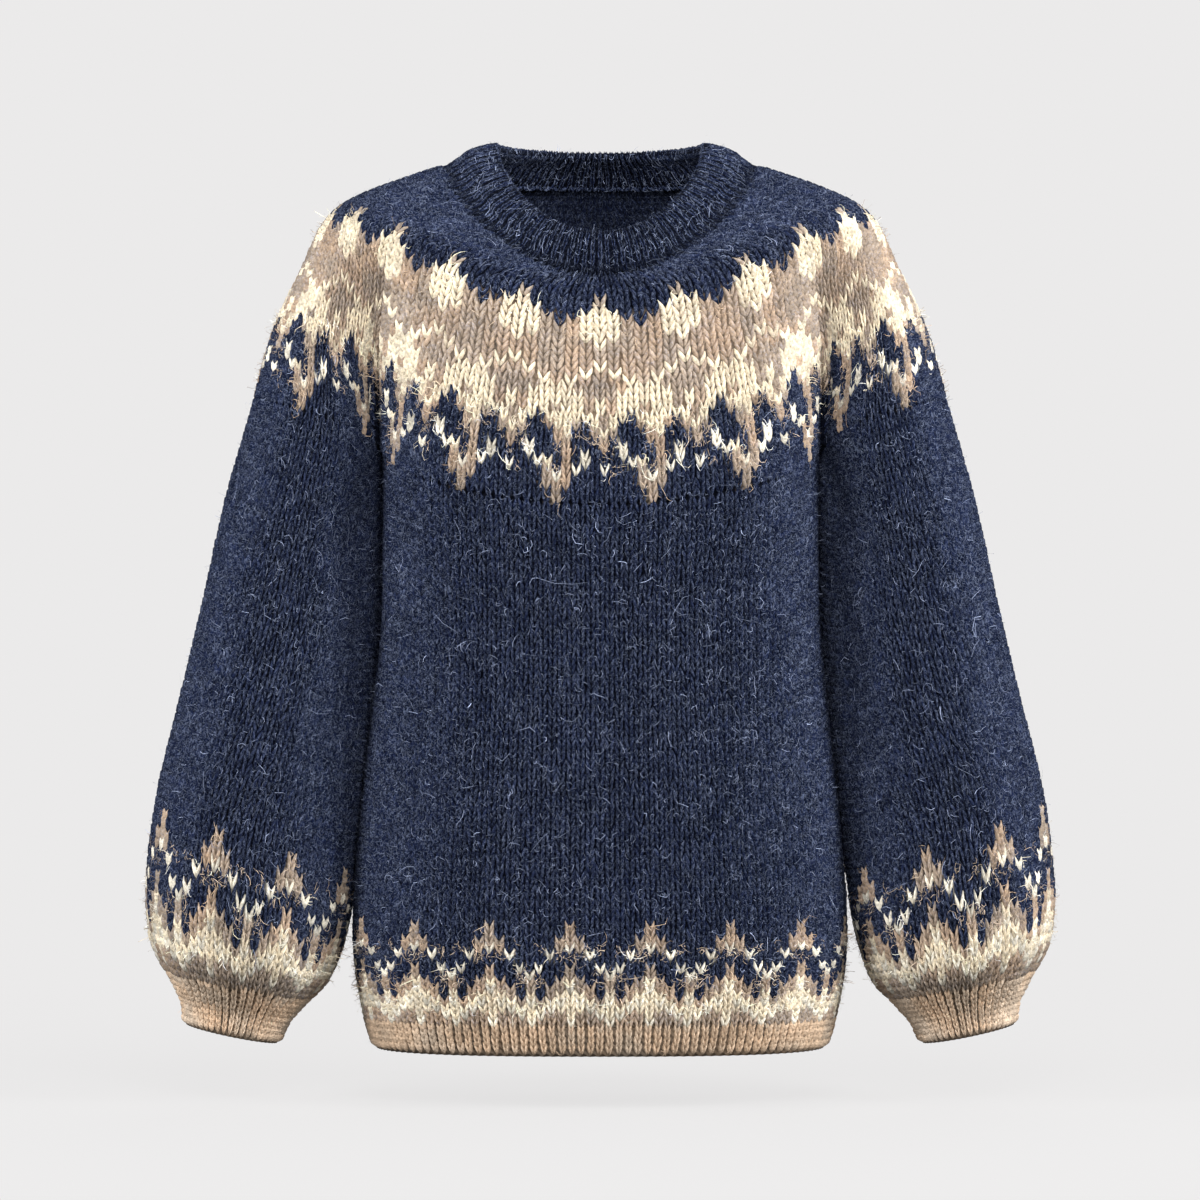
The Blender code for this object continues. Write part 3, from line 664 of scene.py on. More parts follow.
def lay_rounds(columns_of, shares, stops, counts, reach, lead=None):
    """Points down each column with the rounds evenly spaced between the rings at stops.

    reach is (first, last) round wanted; rounds before the first stop keep the spacing after
    it, or are lead metres apart."""
    dense = np.linspace(max(stops[0] - 3, 0), stops[-1] + 1, COLUMN_STEPS)
    line = through(columns_of(shares), dense)
    steps, length = measure(line)
    round_at = np.concatenate([[0], np.cumsum(counts)])
    rounds = np.arange(reach[0] * FINE_ROUND, reach[1] * FINE_ROUND + 1) / FINE_ROUND
    k = np.clip(np.searchsorted(round_at, rounds, side="right") - 1, 0, len(counts) - 1)
    share = (rounds - round_at[k]) / np.array(counts)[k]
    points = np.empty((len(rounds), line.shape[1], 3))
    for column in range(line.shape[1]):
        at_stops = np.interp(stops, dense, length[:, column])
        wanted = at_stops[k] + (at_stops[k + 1] - at_stops[k]) * share
        if lead is not None:
            wanted = np.where(rounds < 0, at_stops[0] + rounds * lead, wanted)
        for axis in range(3):
            points[:, column, axis] = np.interp(wanted, length[:, column], line[:, column, axis])
        before = np.minimum(wanted, 0)[:, None] * (line[1, column] - line[0, column])
        after = np.maximum(wanted - length[-1, column], 0)[:, None]
        after = after * (line[-1, column] - line[-2, column])
        points[:, column] += before / steps[0, column] + after / steps[-1, column]
    return points


@lru_cache(maxsize=None)
def yoke_fabric():
    """The yoke: wale 0 at the centre front, 220 wales at its base, round 0 at the pattern."""
    wales = fine_wales(0, BASE_WALES)
    points = lay_rounds(yoke_columns, wales / YOKE_STITCHES, YOKE_STOPS, (YOKE_ROUNDS,),
                        (-YOKE_LEAD, YOKE_REACH), lead=ROUND)
    yoke = Fabric(points, wales[0], -YOKE_LEAD)
    reach = np.interp(np.mod(wales, BASE_WALES), np.arange(BASE_WALES), neck_rounds())
    below = np.maximum(reach + (-YOKE_LEAD + np.arange(len(points)) / FINE_ROUND)[:, None], 0)
    ditch = SEAM_DITCH * np.exp(-(below / DITCH_WIDTH) ** 2)
    yoke.points = yoke.points - yoke.outward * ditch[..., None]
    yoke.outward = outward_of(yoke.points)
    return yoke.folded(YOKE_FOLDS, BASE_WALES)


@lru_cache(maxsize=None)
def neck_rounds():
    """How many rounds lie between the neckband's seam and the pattern, down each wale."""
    u = np.arange(BASE_WALES) / YOKE_STITCHES
    line = through(yoke_columns(u), np.linspace(2, YOKE_STOPS[0], NECK_STEPS))
    return np.linalg.norm(np.diff(line, axis=0), axis=-1).sum(0) / ROUND


@lru_cache(maxsize=None)
def body_fabric():
    """The body with its band and rib: wale 0 at the centre front, 34 at the left side."""
    quarter = BODY_STITCHES // 4
    wales = fine_wales(-quarter, 3 * quarter)
    points = lay_rounds(body_columns, wales / BODY_STITCHES, BODY_STOPS, BODY_ROUNDS,
                        (-PANEL_LEAD, BODY_REACH))
    return Fabric(points, wales[0], -PANEL_LEAD).folded(BODY_FOLDS, BODY_STITCHES)


@lru_cache(maxsize=None)
def sleeve_fabric(label):
    """A sleeve with its cuff: wale 0 along its inner side."""
    wales = fine_wales(0, SLEEVE_STITCHES)
    points = lay_rounds(sleeve_columns, wales / SLEEVE_STITCHES, SLEEVE_STOPS, SLEEVE_ROUNDS,
                        (-PANEL_LEAD, SLEEVE_REACH))
    folds = SLEEVE_FOLDS
    if label == "right":
        points = points[:, ::-1] * np.array([-1, 1, 1])
        folds = [[value + step for value, step in zip(
            (SLEEVE_STITCHES - fold[0], fold[1], SLEEVE_STITCHES - fold[2], *fold[3:]),
            RIGHT_FOLD_SHIFT)] for fold in SLEEVE_FOLDS]
    return Fabric(points, wales[0], -PANEL_LEAD).folded(folds, SLEEVE_STITCHES)


@lru_cache(maxsize=None)
def neck_fabric():
    """The neckband from its inner seam, up over its fold and down to its outer seam."""
    wales = fine_wales(0, NECK_WALES)
    rings = yoke_columns(wales / NECK_WALES * REPEATS)
    v = np.linspace(*BAND_PLACE, BAND_STEPS)
    outer = through(rings, v)
    outward = outward_of(outer[::-1])[::-1]
    rise = BAND_RISE - BAND_TUCK * np.exp(-((v[0] - v) / TUCK_WIDTH) ** 2)
    outer = outer + outward * rise[:, None, None]
    up = outer[-1] - outer[-2]
    up /= np.linalg.norm(up, axis=-1, keepdims=True)
    half = BAND_THICK / 2
    middle = outer[-1] - outward[-1] * half
    turns = [middle + outward[-1] * math.cos(a) * half + up * math.sin(a) * half
             for a in np.linspace(0, math.pi, TURN_STEPS)[1:-1]]
    inner = (through(rings, v) - outward * (BAND_THICK - BAND_RISE))[::-1]
    line = np.concatenate([outer, turns, inner])[::-1]
    _, length = measure(line)
    share = np.linspace(0, 1, NECK_ROUNDS * FINE_ROUND + 1)
    points = np.stack([[np.interp(share, length[:, c] / length[-1, c], line[:, c, axis])
                        for axis in range(3)] for c in range(len(wales))]).transpose(2, 0, 1)
    return Fabric(points, wales[0], 0)


# ---- yarn colours -----------------------------------------------------------------------
def chart_at(chart, round_, column):
    """The yarn that a chart gives at these rounds and columns from its motif's middle."""
    width = max(len(line) for line in chart)
    table = np.array([list(line.ljust(width, line[-1])) for line in chart])
    line = np.clip(np.floor(round_).astype(int), 0, len(chart) - 1)
    return table[line, np.clip(np.floor(column).astype(int), 0, width - 1)]


def mirrored(column, repeat):
    """Distance of a column from the middle of its motif, where motifs are repeat apart."""
    turned = np.mod(column, repeat)
    return np.minimum(turned, repeat - turned)


def yoke_yarn(column, round_, repeat):
    """Yarn of the yoke's stitches, whose columns count repeat to a repeat of the pattern."""
    if repeat in MIRRORED_CHARTS:
        chart, first = MIRRORED_CHARTS[repeat]
        yarn = chart_at(chart, round_ - first, mirrored(column, repeat))
    else:
        yarn = chart_at(YOKE_LOW, round_ - LOW_STARTS, np.mod(column - 1, repeat))
    return np.where(round_ < 0, "N", yarn)


def band_yarn(column, round_, plain):
    """Yarn of the body's or a sleeve's stitches: plain rounds, the band, and beige below."""
    yarn = chart_at(BAND, round_ - plain, mirrored(column - BAND_TIP, BAND_WALES))
    yarn = np.where(round_ < plain, "N", yarn)
    return np.where(round_ >= plain + len(BAND), "B", yarn)


def drift(random, wale, round_, size):
    """A soft random value from -1 to 1 that changes over about size stitches."""
    table = random.uniform(-1, 1, (DRIFT_TABLE, DRIFT_TABLE))
    x, y = np.mod(wale / size, DRIFT_TABLE - 1), np.mod(round_ / size, DRIFT_TABLE - 1)
    i, j = y.astype(int), x.astype(int)
    v, u = y - i, x - j
    v, u = v * v * (3 - 2 * v), u * u * (3 - 2 * u)
    top = table[i, j] * (1 - u) + table[i, j + 1] * u
    return top * (1 - v) + (table[i + 1, j] * (1 - u) + table[i + 1, j + 1] * u) * v


def dye(random, yarn, wale, round_):
    """Linear colour of each stitch: its yarn, with the uneven shades of undyed wool."""
    wool = bpy.context.scene.sweater_wool
    shades = {name: np.array(getattr(wool, shade)[:]) for name, shade in YARN_SHADES.items()}
    colour = np.empty(yarn.shape + (3,))
    for name, shade in shades.items():
        colour[yarn == name] = shade
    tan = np.clip(0.5 + TAN_CONTRAST * drift(random, wale, round_, TAN_PATCH), 0, 1)[..., None]
    is_beige = (yarn == "B")[..., None]
    colour = np.where(is_beige, shades["B"] * tan + shades["G"] * (1 - tan), colour)
    uneven = CREAM_CONTRAST * drift(random, wale, round_, CREAM_PATCH) - CREAM_CLEAN
    uneven = np.clip(uneven, 0, CREAM_MOST)[..., None]
    is_cream = (yarn == "C")[..., None]
    colour = np.where(is_cream, shades["C"] * (1 - uneven) + shades["B"] * uneven, colour)
    is_pale = np.isin(yarn, ("C", "B", "G"))
    uneven = drift(random, wale, round_, SHADE_PATCH) * np.where(is_pale, PALE_DRIFT, NAVY_DRIFT)
    speck = random.normal(0, 1, yarn.shape) * np.where(is_pale, PALE_SPECK, NAVY_SPECK)
    return colour * np.exp(uneven + speck)[..., None]


# ---- meshes -----------------------------------------------------------------------------
def build_mesh(name, points, faces, colours, unrolled, strand=None, same=None):
    """An object from arrays: a colour for each point with how hazy it is as a fourth part, its
    place on the unrolled cloth (0 to 1) and its place along its strand of yarn.  same gives
    each point the one that it is welded to, so that a tube can close while its unrolled places
    stay apart."""
    corner = np.array([point for face in faces for point in face])
    if same is not None:
        kept = same == np.arange(len(same))
        renumbered = (np.cumsum(kept) - 1)[same]
        faces = [[renumbered[point] for point in face] for face in faces]
        points, colours = points[kept], colours[kept]
    mesh = bpy.data.meshes.new(name)
    mesh.from_pydata(points.tolist(), [], faces)
    mesh.shade_smooth()
    colour_with_painted_shade = mesh.color_attributes.new("yarn", "FLOAT_COLOR", "POINT")
    colour_with_painted_shade.data.foreach_set("color", colours.ravel())
    for map_name, places in (("OFBake", unrolled), ("strand", strand)):
        if places is not None:
            layer = mesh.uv_layers.new(name=map_name)
            layer.data.foreach_set("uv", places[corner].ravel())
    piece = bpy.data.objects.new(name, mesh)
    bpy.context.scene.collection.objects.link(piece)
    return piece


class Knitting:
    """Gathers a piece's stitches and fibres, then makes them into its objects."""

    def __init__(self, name, spans):
        self.name = name
        self.random = np.random.default_rng(SEEDS[name])
        self.spans = spans        # ((first, last wale), (first, last round)) of the unrolling
        self.stitches = []
        self.fibres = []

    def unroll(self, wale, round_):
        """Places on the unrolled cloth, from 0 to 1 each way."""
        (w0, w1), (r0, r1) = self.spans
        return np.stack([(wale - w0) / (w1 - w0), 1 - (round_ - r0) / (r1 - r0)], -1)

    def stitch(self, fabric, wale, round_, colour, hazy, wide=1.0, tall=1.0, lean=1.0,
               plump=1.0, proud=1.0):
        """Two strands of yarn for each stitch whose foot is at (wale, round)."""
        wool = bpy.context.scene.sweater_wool
        count = len(wale)
        across, station, half, crest, edge = np.array(STRAND).T
        across = across[:, None] * lean + half[:, None] * plump * np.array([-1, 0, 1])
        up = station[:, None] + STRAND_BOW * np.array([1, 0, -1])
        height = np.stack([edge, crest * wool.relief * proud, edge], -1)
        slack = self.random.normal(0, 1, (count, 4))
        wide = np.broadcast_to(wide, (count,))[:, None, None]
        quads = [[i * 3 + j, i * 3 + j + 1, i * 3 + j + 4, i * 3 + j + 3]
                 for i in range(len(STRAND) - 1) for j in range(2)]
        # painted shade along each strand and on its edges, less of it on pale wool
        shade = np.array(STRAND_PAINTED_SHADE)[:, None] * np.array([EDGE_PAINTED_SHADE, 1.0, EDGE_PAINTED_SHADE])
        glow = np.where(colour[:, 0] > PALE_LEAST, PALE_GLOW, 1.0)[:, None, None, None]
        colour_with_painted_shade = colour[:, None, None, :] * shade[None, :, :, None] ** glow
        hair = np.array(STRAND_HAZE)[:, None] * np.array([EDGE_HAZE, 1.0, EDGE_HAZE])
        # each stitch's hairs are scaled by the painted light and shade that its block gives it
        hair = hazy[:, None, None, None] * hair[None, :, :, None]
        for side in (-1, 1):
            swell = 1 + SWELL * self.random.normal(0, 1, (count, 1, 1))
            off = across * swell + STRAY * self.random.normal(0, 1, (count, 1, 1))
            at_wale = wale[:, None, None] + side * off * wide
            at_wale = at_wale + WANDER * slack[:, 0, None, None] * wide
            stretch = 1 + STRETCH * slack[:, 1, None, None]
            at_round = round_[:, None, None] - up * tall * stretch
            lift = height + BOUNCE * self.random.normal(0, 1, (count, 1, 1))
            points = fabric.at(at_wale, at_round, lift)
            tint = colour_with_painted_shade * np.exp(STRAND_TINT * self.random.normal(0, 1, (count, 1, 1, 1)))
            tint = np.concatenate([tint, hair], -1)
            along = station[:, None] + self.random.uniform(0, PLY_SHIFT, (count, 1, 1))
            strand = np.stack(np.broadcast_arrays(np.array([0, 0.5, 1.0]), along), -1)
            faces = np.array(quads)
            if side > 0:
                faces = faces[:, ::-1]
            self.stitches.append((points.reshape(-1, 3), faces, tint.reshape(-1, 4),
                                  self.unroll(at_wale, at_round).reshape(-1, 2),
                                  strand.reshape(-1, 2), count))

    def fuzz(self, fabric, wale, round_, colour, length, lift, steps, thick):
        """Loose fibres, each a thin tapering ribbon that starts at (wale, round)."""
        wool = bpy.context.scene.sweater_wool
        count = len(wale)
        uneven = np.exp(self.random.normal(*FIBRE_SPREAD, count))
        reach = wool.fibre_length * length * uneven / steps
        turn = self.random.uniform(0, 2 * math.pi, count)
        bend = self.random.normal(0, CURL / steps, count)
        at_wale, at_round = [wale], [round_]
        for _ in range(steps):
            at_wale.append(at_wale[-1] + np.cos(turn) * reach / WALE)
            at_round.append(at_round[-1] + np.sin(turn) * reach / ROUND)
            turn = turn + bend + self.random.normal(0, KINK, count)
        at_wale, at_round = np.stack(at_wale, -1), np.stack(at_round, -1)
        rise = np.abs(self.random.normal(0, 1, (count, 1))) * wool.fibre_lift * lift
        arch = np.sin(np.linspace(0, ARCH, steps + 1) * math.pi)
        arch = arch + self.random.normal(0, RIPPLE, (count, steps + 1))
        spine = fabric.at(at_wale, at_round, FIBRE_ROOT + rise * arch)
        outward = fabric.at(at_wale, at_round, 1.0) - fabric.at(at_wale, at_round, 0.0)
        side = np.cross(np.gradient(spine, axis=1), outward)
        side /= np.linalg.norm(side, axis=-1, keepdims=True) + 1e-12
        half = wool.fibre_width * thick / 2 * np.linspace(1.0, FIBRE_TAPER, steps)[:, None]
        left, right = spine[:, :-1] + side[:, :-1] * half, spine[:, :-1] - side[:, :-1] * half
        pairs = np.stack([left, right], 2).reshape(count, steps * 2, 3)
        points = np.concatenate([pairs, spine[:, -1:]], 1).reshape(-1, 3)
        per = steps * 2 + 1
        tint = np.repeat(np.column_stack([colour, np.zeros(count)]), per, axis=0)
        places = self.unroll(np.repeat(wale, per), np.repeat(round_, per))
        self.fibres.append((points, tint, places, count, steps))

    def make_stitches(self):
        """The object of all the stitches."""
        start, points, faces = 0, [], []
        for block in self.stitches:
            per = len(STRAND) * 3
            offsets = start + per * np.arange(block[5])[:, None, None]
            faces.append((offsets + block[1][None]).reshape(-1, 4))
            points.append(block[0])
            start += per * block[5]
        tints, places, strands = (np.concatenate([b[i] for b in self.stitches]) for i in (2, 3, 4))
        return build_mesh(self.name + "_stitches", np.concatenate(points),
                          np.concatenate(faces).tolist(), tints, places, strands)

    def make_fibres(self):
        """The object of all the loose fibres."""
        faces, start = [], 0
        for _, _, _, count, steps in self.fibres:
            for root in (start + (2 * steps + 1) * np.arange(count)).tolist():
                tip = root + 2 * steps
                faces += [(i, i + 1, i + 3, i + 2) for i in range(root, tip - 2, 2)]
                faces.append((tip - 2, tip - 1, tip))
            start += (2 * steps + 1) * count
        points, tints, places = (np.concatenate([b[i] for b in self.fibres]) for i in (0, 1, 2))
        return build_mesh(self.name + "_fibres", points, faces, tints, places)


def make_cloth(knitting, fabric, wales, rounds, colour_at, closed, relief=None,
               heights=(CLOTH_OUT, CLOTH_IN)):
    """The thin cloth under the stitches: an outer and an inner face and the edges between.

    A closed piece's last wale is its first again.  rounds may differ from wale to wale."""
    rounds = np.asarray(rounds, float)
    round_ = rounds if rounds.ndim == 2 else np.repeat(rounds[:, None], len(wales), axis=1)
    wale = np.broadcast_to(np.asarray(wales, float), round_.shape)
    dip = 0 if relief is None else relief(wale, round_)
    layers = [fabric.at(wale, round_, heights[0] + dip),
              fabric.at(wale, round_, heights[1] + 0 * wale)]
    out = np.arange(wale.size).reshape(wale.shape)
    inn = out + wale.size

    def quads(*corners):
        return np.stack([corner.ravel() for corner in corners], -1).tolist()

    faces = quads(out[:-1, :-1], out[1:, :-1], out[1:, 1:], out[:-1, 1:])
    faces += quads(inn[:-1, :-1], inn[:-1, 1:], inn[1:, 1:], inn[1:, :-1])
    faces += quads(out[0, :-1], out[0, 1:], inn[0, 1:], inn[0, :-1])
    faces += quads(out[-1, 1:], out[-1, :-1], inn[-1, :-1], inn[-1, 1:])
    same = np.arange(2 * wale.size)
    if closed:
        same[out[:, -1]] = out[:, 0]
        same[inn[:, -1]] = inn[:, 0]
    else:
        faces += quads(out[1:, 0], out[:-1, 0], inn[:-1, 0], inn[1:, 0])
        faces += quads(out[:-1, -1], out[1:, -1], inn[1:, -1], inn[:-1, -1])
    colour = colour_at(wale, round_).reshape(-1, 3)
    places = knitting.unroll(wale, round_).reshape(-1, 2) * np.array([1, FACE_SHARE])
    strand = np.tile(np.stack([wale, round_], -1).reshape(-1, 2), (2, 1))
    # painted shade: the cloth darkened in the gaps between stitches, less where it is pale, and on
    # its inner face
    painted_gap_shade = CLOTH_SHADE ** np.where(colour[:, :1] > PALE_LEAST, PALE_GLOW, 1.0)
    tints = [np.column_stack([colour * shade, np.full(len(colour), haze)])
             for shade, haze in zip((painted_gap_shade, INNER_SHADE), CLOTH_HAZE)]
    places = np.concatenate([places + np.array([0, 1 - FACE_SHARE]), places])
    points = np.concatenate([layer.reshape(-1, 3) for layer in layers])
    return build_mesh(knitting.name + "_cloth", points, faces, np.concatenate(tints), places,
                      strand, same)


# ---- pieces -----------------------------------------------------------------------------
def is_near(mask, columns, rounds):
    """Where a mask over (rounds, columns) has a marked stitch within reach."""
    near = np.zeros_like(mask)
    for i in range(-rounds, rounds + 1):
        moved = np.zeros_like(mask)
        if i >= 0:
            moved[i:] = mask[:len(mask) - i]
        else:
            moved[:i] = mask[-i:]
        for j in range(-columns, columns + 1):
            near |= np.roll(moved, j, axis=1)
    return near


def lay_block(knitting, fabric, wales, rounds, yarn, keep=None, tone_and_painted_light=1.0, **shape):
    """A block of stitches, yarn being over (rounds, wales), with its loose fibres.

    Its light factor paints shade on stitches that lie deep in a seam or inside the neck, and
    lightens them where it is over 1: painted light, and on the ribs their lighter tan too."""
    wool = bpy.context.scene.sweater_wool
    random = knitting.random
    wale, round_ = np.meshgrid(wales, rounds)
    keep = np.ones(wale.shape, bool) if keep is None else keep
    tone_and_painted_light = np.broadcast_to(tone_and_painted_light, wale.shape)
    # painted light and shade scale each stitch's colour, its hairs and its navy fibres
    colour = dye(random, yarn, wale, round_) * tone_and_painted_light[..., None]
    knitting.stitch(fabric, wale[keep], round_[keep].astype(float), colour[keep], tone_and_painted_light[keep],
                    **shape)
    dark = np.isin(yarn, NAVY_YARNS)
    border = is_near(dark, *BORDER_REACH) & ~dark & keep
    pale = np.where((yarn == "F")[..., None], np.array(wool.taupe[:]) * CAUGHT_GLOW, colour)
    for kind, spots, number, tint in (
            ("haze", dark & keep, wool.haze_fibres, 1.0),
            ("long", dark & keep, wool.haze_fibres * LONG_SHARE, LONG_GLEAM),
            ("pale", ~dark & keep, wool.pale_fibres, pale),
            ("border", border, wool.border_fibres, pale * BORDER_GLOW),
            ("tangle", (yarn == "F") & keep, wool.tangle_fibres, pale * TANGLE_GLOW)):
        where = np.argwhere(spots)
        if not len(where):
            continue
        pick = where[random.integers(0, len(where), int(round(len(where) * number)))]
        i, j = pick[:, 0], pick[:, 1]
        shade = np.exp(random.normal(0, NAVY_TONES, (len(pick), 1)))
        if kind in ("haze", "long"):
            # navy's fibres take their stitch's painted light and shade too
            tones = np.array(wool.haze[:]) * shade * tone_and_painted_light[i, j][:, None] * tint
        else:
            shade = np.exp(random.normal(*PALE_TONES, (len(pick), 1)))
            tones = np.clip(tint[i, j] * shade, 0, TONE_MOST)
        start_wale = wale[i, j] + random.uniform(-0.5, 0.5, len(pick)) * shape.get("wide", 1.0)
        start_round = round_[i, j] - random.uniform(*ROOT_ROUNDS, len(pick))
        knitting.fuzz(fabric, start_wale, start_round, tones, *FIBRE_KINDS[kind])


def finish_piece(piece, node, material):
    """Gives a piece its wool and its body, and hides the model's part that it stands for."""
    piece.data.materials.append(material)
    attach(piece, "root")
    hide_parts(node)


def finish_node(knitting, cloth, node):
    """Makes a node's stitches and fibres, and finishes its cloth with the cloth's wool."""
    wool = wool_material(node, False)
    details = [knitting.make_stitches(), knitting.make_fibres()]
    for piece in details:
        finish_piece(piece, node, wool)
    finish_piece(cloth, node, wool_material(node, True))


def rib_relief(repeat, depth):
    """Cloth that dips between the ribs, whose ridges lie repeat wales apart."""
    def relief(wale, round_):
        return -depth / 2 * (1 - np.cos(2 * math.pi * wale / repeat))
    return relief


def colour_of(random, yarn_at):
    """A function that gives the cloth's colour at any wale and round from its yarn there."""
    def colour_at(wale, round_):
        return dye(random, yarn_at(np.rint(wale), np.floor(round_ + 0.5)), wale, round_)
    return colour_at


def all_of(yarn):
    """A yarn function that is the same everywhere."""
    return lambda wale, round_: np.full(np.shape(wale), yarn)


def seam_painted_light(seam, rounds):
    """Painted light and shade of stitches that lie this many rounds from a seam: painted shade at
    the seam.
    """
    level, darker, fade = SEAM_PAINTED_LIGHT[seam]
    return level - darker * np.exp(-(rounds / fade) ** 2)


def knit_neckband():
    """The folded neckband, in one-by-one rib inside and out."""
    fabric = neck_fabric()
    knitting = Knitting("neckband", ((0, NECK_WALES), (0, NECK_ROUNDS)))
    wales, rounds = np.arange(NECK_WALES), np.arange(1, NECK_ROUNDS + 1)
    yarn = np.full((len(rounds), len(wales)), "N")
    # painted shade darkens the rounds next to the band's outer seam; the rest are painted lighter,
    # the inner half more
    edge = (NECK_ROUNDS + BAND_EDGE - rounds)[:, None]
    inner = (rounds < NECK_ROUNDS / 2)[:, None]
    tone_and_painted_light = seam_painted_light("neckband", edge) + BAND_INNER_LIGHT * inner + 0 * wales
    lay_block(knitting, fabric, wales, rounds, yarn, tone_and_painted_light=tone_and_painted_light, **BAND_STITCH)
    lay_block(knitting, fabric, wales[::2], rounds[:1] - BAND_SEAM_DROP, yarn[:1, ::2],
              **BAND_SEAM_STITCH)
    cloth = make_cloth(knitting, fabric, np.arange(NECK_WALES * 2 + 1) / 2,
                       np.arange(NECK_ROUNDS * 2 + 1) / 2,
                       colour_of(knitting.random, all_of("N")), True, rib_relief(1, BAND_DIP),
                       BAND_HEIGHTS)
    finish_node(knitting, cloth, "neckband")


def yoke_cloth_yarn(wale, round_):
    """Yarn that shows between the yoke's stitches."""
    upper = np.where(round_ >= YOKE_CLOTH_TURNS, "B", "N")
    return np.where(round_ >= LOW_STARTS, yoke_yarn(wale, round_, YOKE_STITCHES), upper)


def knit_yoke():
    """The round yoke: plain at the neck, then the pattern, which widens in three steps."""
    fabric = yoke_fabric()
    knitting = Knitting("yoke", ((0, BASE_WALES), (-YOKE_LEAD, YOKE_ROUNDS)))
    for repeat, first, last in YOKE_ZONES:
        columns = np.arange(REPEATS * repeat)
        wales = columns * YOKE_STITCHES / repeat
        rounds = np.arange(first, last)
        column, round_ = np.meshgrid(columns, rounds)
        yarn = yoke_yarn(column, round_, repeat)
        reach = neck_rounds()[np.rint(wales).astype(int) % BASE_WALES]
        keep = -round_ - PATTERN_DROP < reach[None, :] - SEAM_ROOM
        # painted shade on the yoke's first rounds under the neckband's seam
        tone_and_painted_light = seam_painted_light("yoke", reach[None, :] + round_ + PATTERN_DROP)
        if repeat == YOKE_STITCHES:
            wales = wales + PATTERN_TURN
        lay_block(knitting, fabric, wales, rounds + PATTERN_DROP, yarn, keep, tone_and_painted_light,
                  wide=YOKE_STITCHES / repeat)
    inside = fabric.inside_out(-CLOTH_IN)
    columns = np.arange(-INSIDE_COLUMNS, INSIDE_COLUMNS + 1) + REPEATS * INSIDE_REPEAT // 2
    wales = columns * YOKE_STITCHES / INSIDE_REPEAT
    rounds = np.arange(-INSIDE_ROUNDS, 1)
    reach = neck_rounds()[np.rint(wales).astype(int) % BASE_WALES]
    keep = -rounds[:, None] < reach[None, :] + 1
    # painted shade inside the neck, darkest at its seam
    tone_and_painted_light = seam_painted_light("inside", reach[None, :] + rounds[:, None])
    lay_block(knitting, inside, -wales, rounds, np.full(keep.shape, "N"), keep, tone_and_painted_light,
              wide=YOKE_STITCHES / INSIDE_REPEAT)

    above, below = YOKE_CLOTH_ROWS
    top = -np.append(neck_rounds(), neck_rounds()[0])
    share = np.concatenate([np.linspace(0, 1, above, endpoint=False),
                            np.linspace(1, 2, below + 1)])[:, None]
    rounds = np.where(share < 1, top * (1 - share), YOKE_ROUNDS * (share - 1))
    cloth = make_cloth(knitting, fabric, np.arange(BASE_WALES + 1), rounds,
                       colour_of(knitting.random, yoke_cloth_yarn), True)
    finish_node(knitting, cloth, "yoke")


def knit_panel(node, fabric, reach, knitted, rows, closed):
    """Part of the body or a sleeve, plain and then patterned, to where its rib starts.

    reach is its first and last wale, and knitted its plain, patterned and ribbed rounds."""
    first, last = reach
    plain, band, _ = knitted
    foot = plain + band
    knitting = Knitting(node, (reach, (0, foot)))
    wales, rounds = np.arange(first, last), np.arange(1, math.floor(foot) + 1)
    wale, round_ = np.meshgrid(wales, rounds)
    lay_block(knitting, fabric, wales, rounds, band_yarn(wale, round_, plain))
    cloth = make_cloth(
        knitting, fabric, np.arange(first, last + 1), np.linspace(0, foot, rows),
        colour_of(knitting.random, lambda wale, round_: band_yarn(wale, round_, plain)), closed)
    finish_node(knitting, cloth, node)


def knit_rib(node, fabric, reach, knitted):
    """The rib at the foot of the body or a sleeve, with reach and knitted as its panel has."""
    rib = row(RIB_COLUMNS, RIBS[node])
    top, foot = knitted[0] + knitted[1], sum(knitted)
    knitting = Knitting(node, (reach, (top, foot)))
    width = (reach[1] - reach[0]) / rib["ribs"]
    wales = reach[0] + np.arange(rib["ribs"]) * width
    rounds = np.arange(math.floor(top) + 1, foot + 0.5)
    yarn = np.full((len(rounds), len(wales)), "B")
    lay_block(knitting, fabric, wales, rounds, yarn, tone_and_painted_light=rib["tone_and_painted_light"], wide=width,
              lean=rib["lean"], plump=RIB_PLUMP)
    cloth = make_cloth(knitting, fabric, reach[0] + np.arange(rib["ribs"] * 2 + 1) / 2 * width,
                       np.linspace(top, foot, rib["rows"]),
                       colour_of(knitting.random, all_of("B")), True,
                       rib_relief(width, rib["dip"]))
    finish_node(knitting, cloth, node)


def knit_body():
    """The front and the back of the body."""
    quarter = BODY_STITCHES // 4
    for node, first in (("body_front", -quarter), ("body_back", quarter)):
        knit_panel(node, body_fabric(), (first, first + 2 * quarter), BODY_ROUNDS, BODY_ROWS,
                   False)


def knit_hem():
    """The narrow rib round the foot of the body."""
    first = -BODY_STITCHES // 4
    knit_rib("hem_band", body_fabric(), (first, first + BODY_STITCHES), BODY_ROUNDS)


def knit_sleeves():
    """Both bishop sleeves with their ribbed cuffs."""
    reach = (0, SLEEVE_STITCHES)
    for label in ("left", "right"):
        fabric = sleeve_fabric(label)
        knit_panel(f"sleeve_{label}", fabric, reach, SLEEVE_ROUNDS, SLEEVE_ROWS, True)
        knit_rib(f"cuff_{label}", fabric, reach, SLEEVE_ROUNDS)


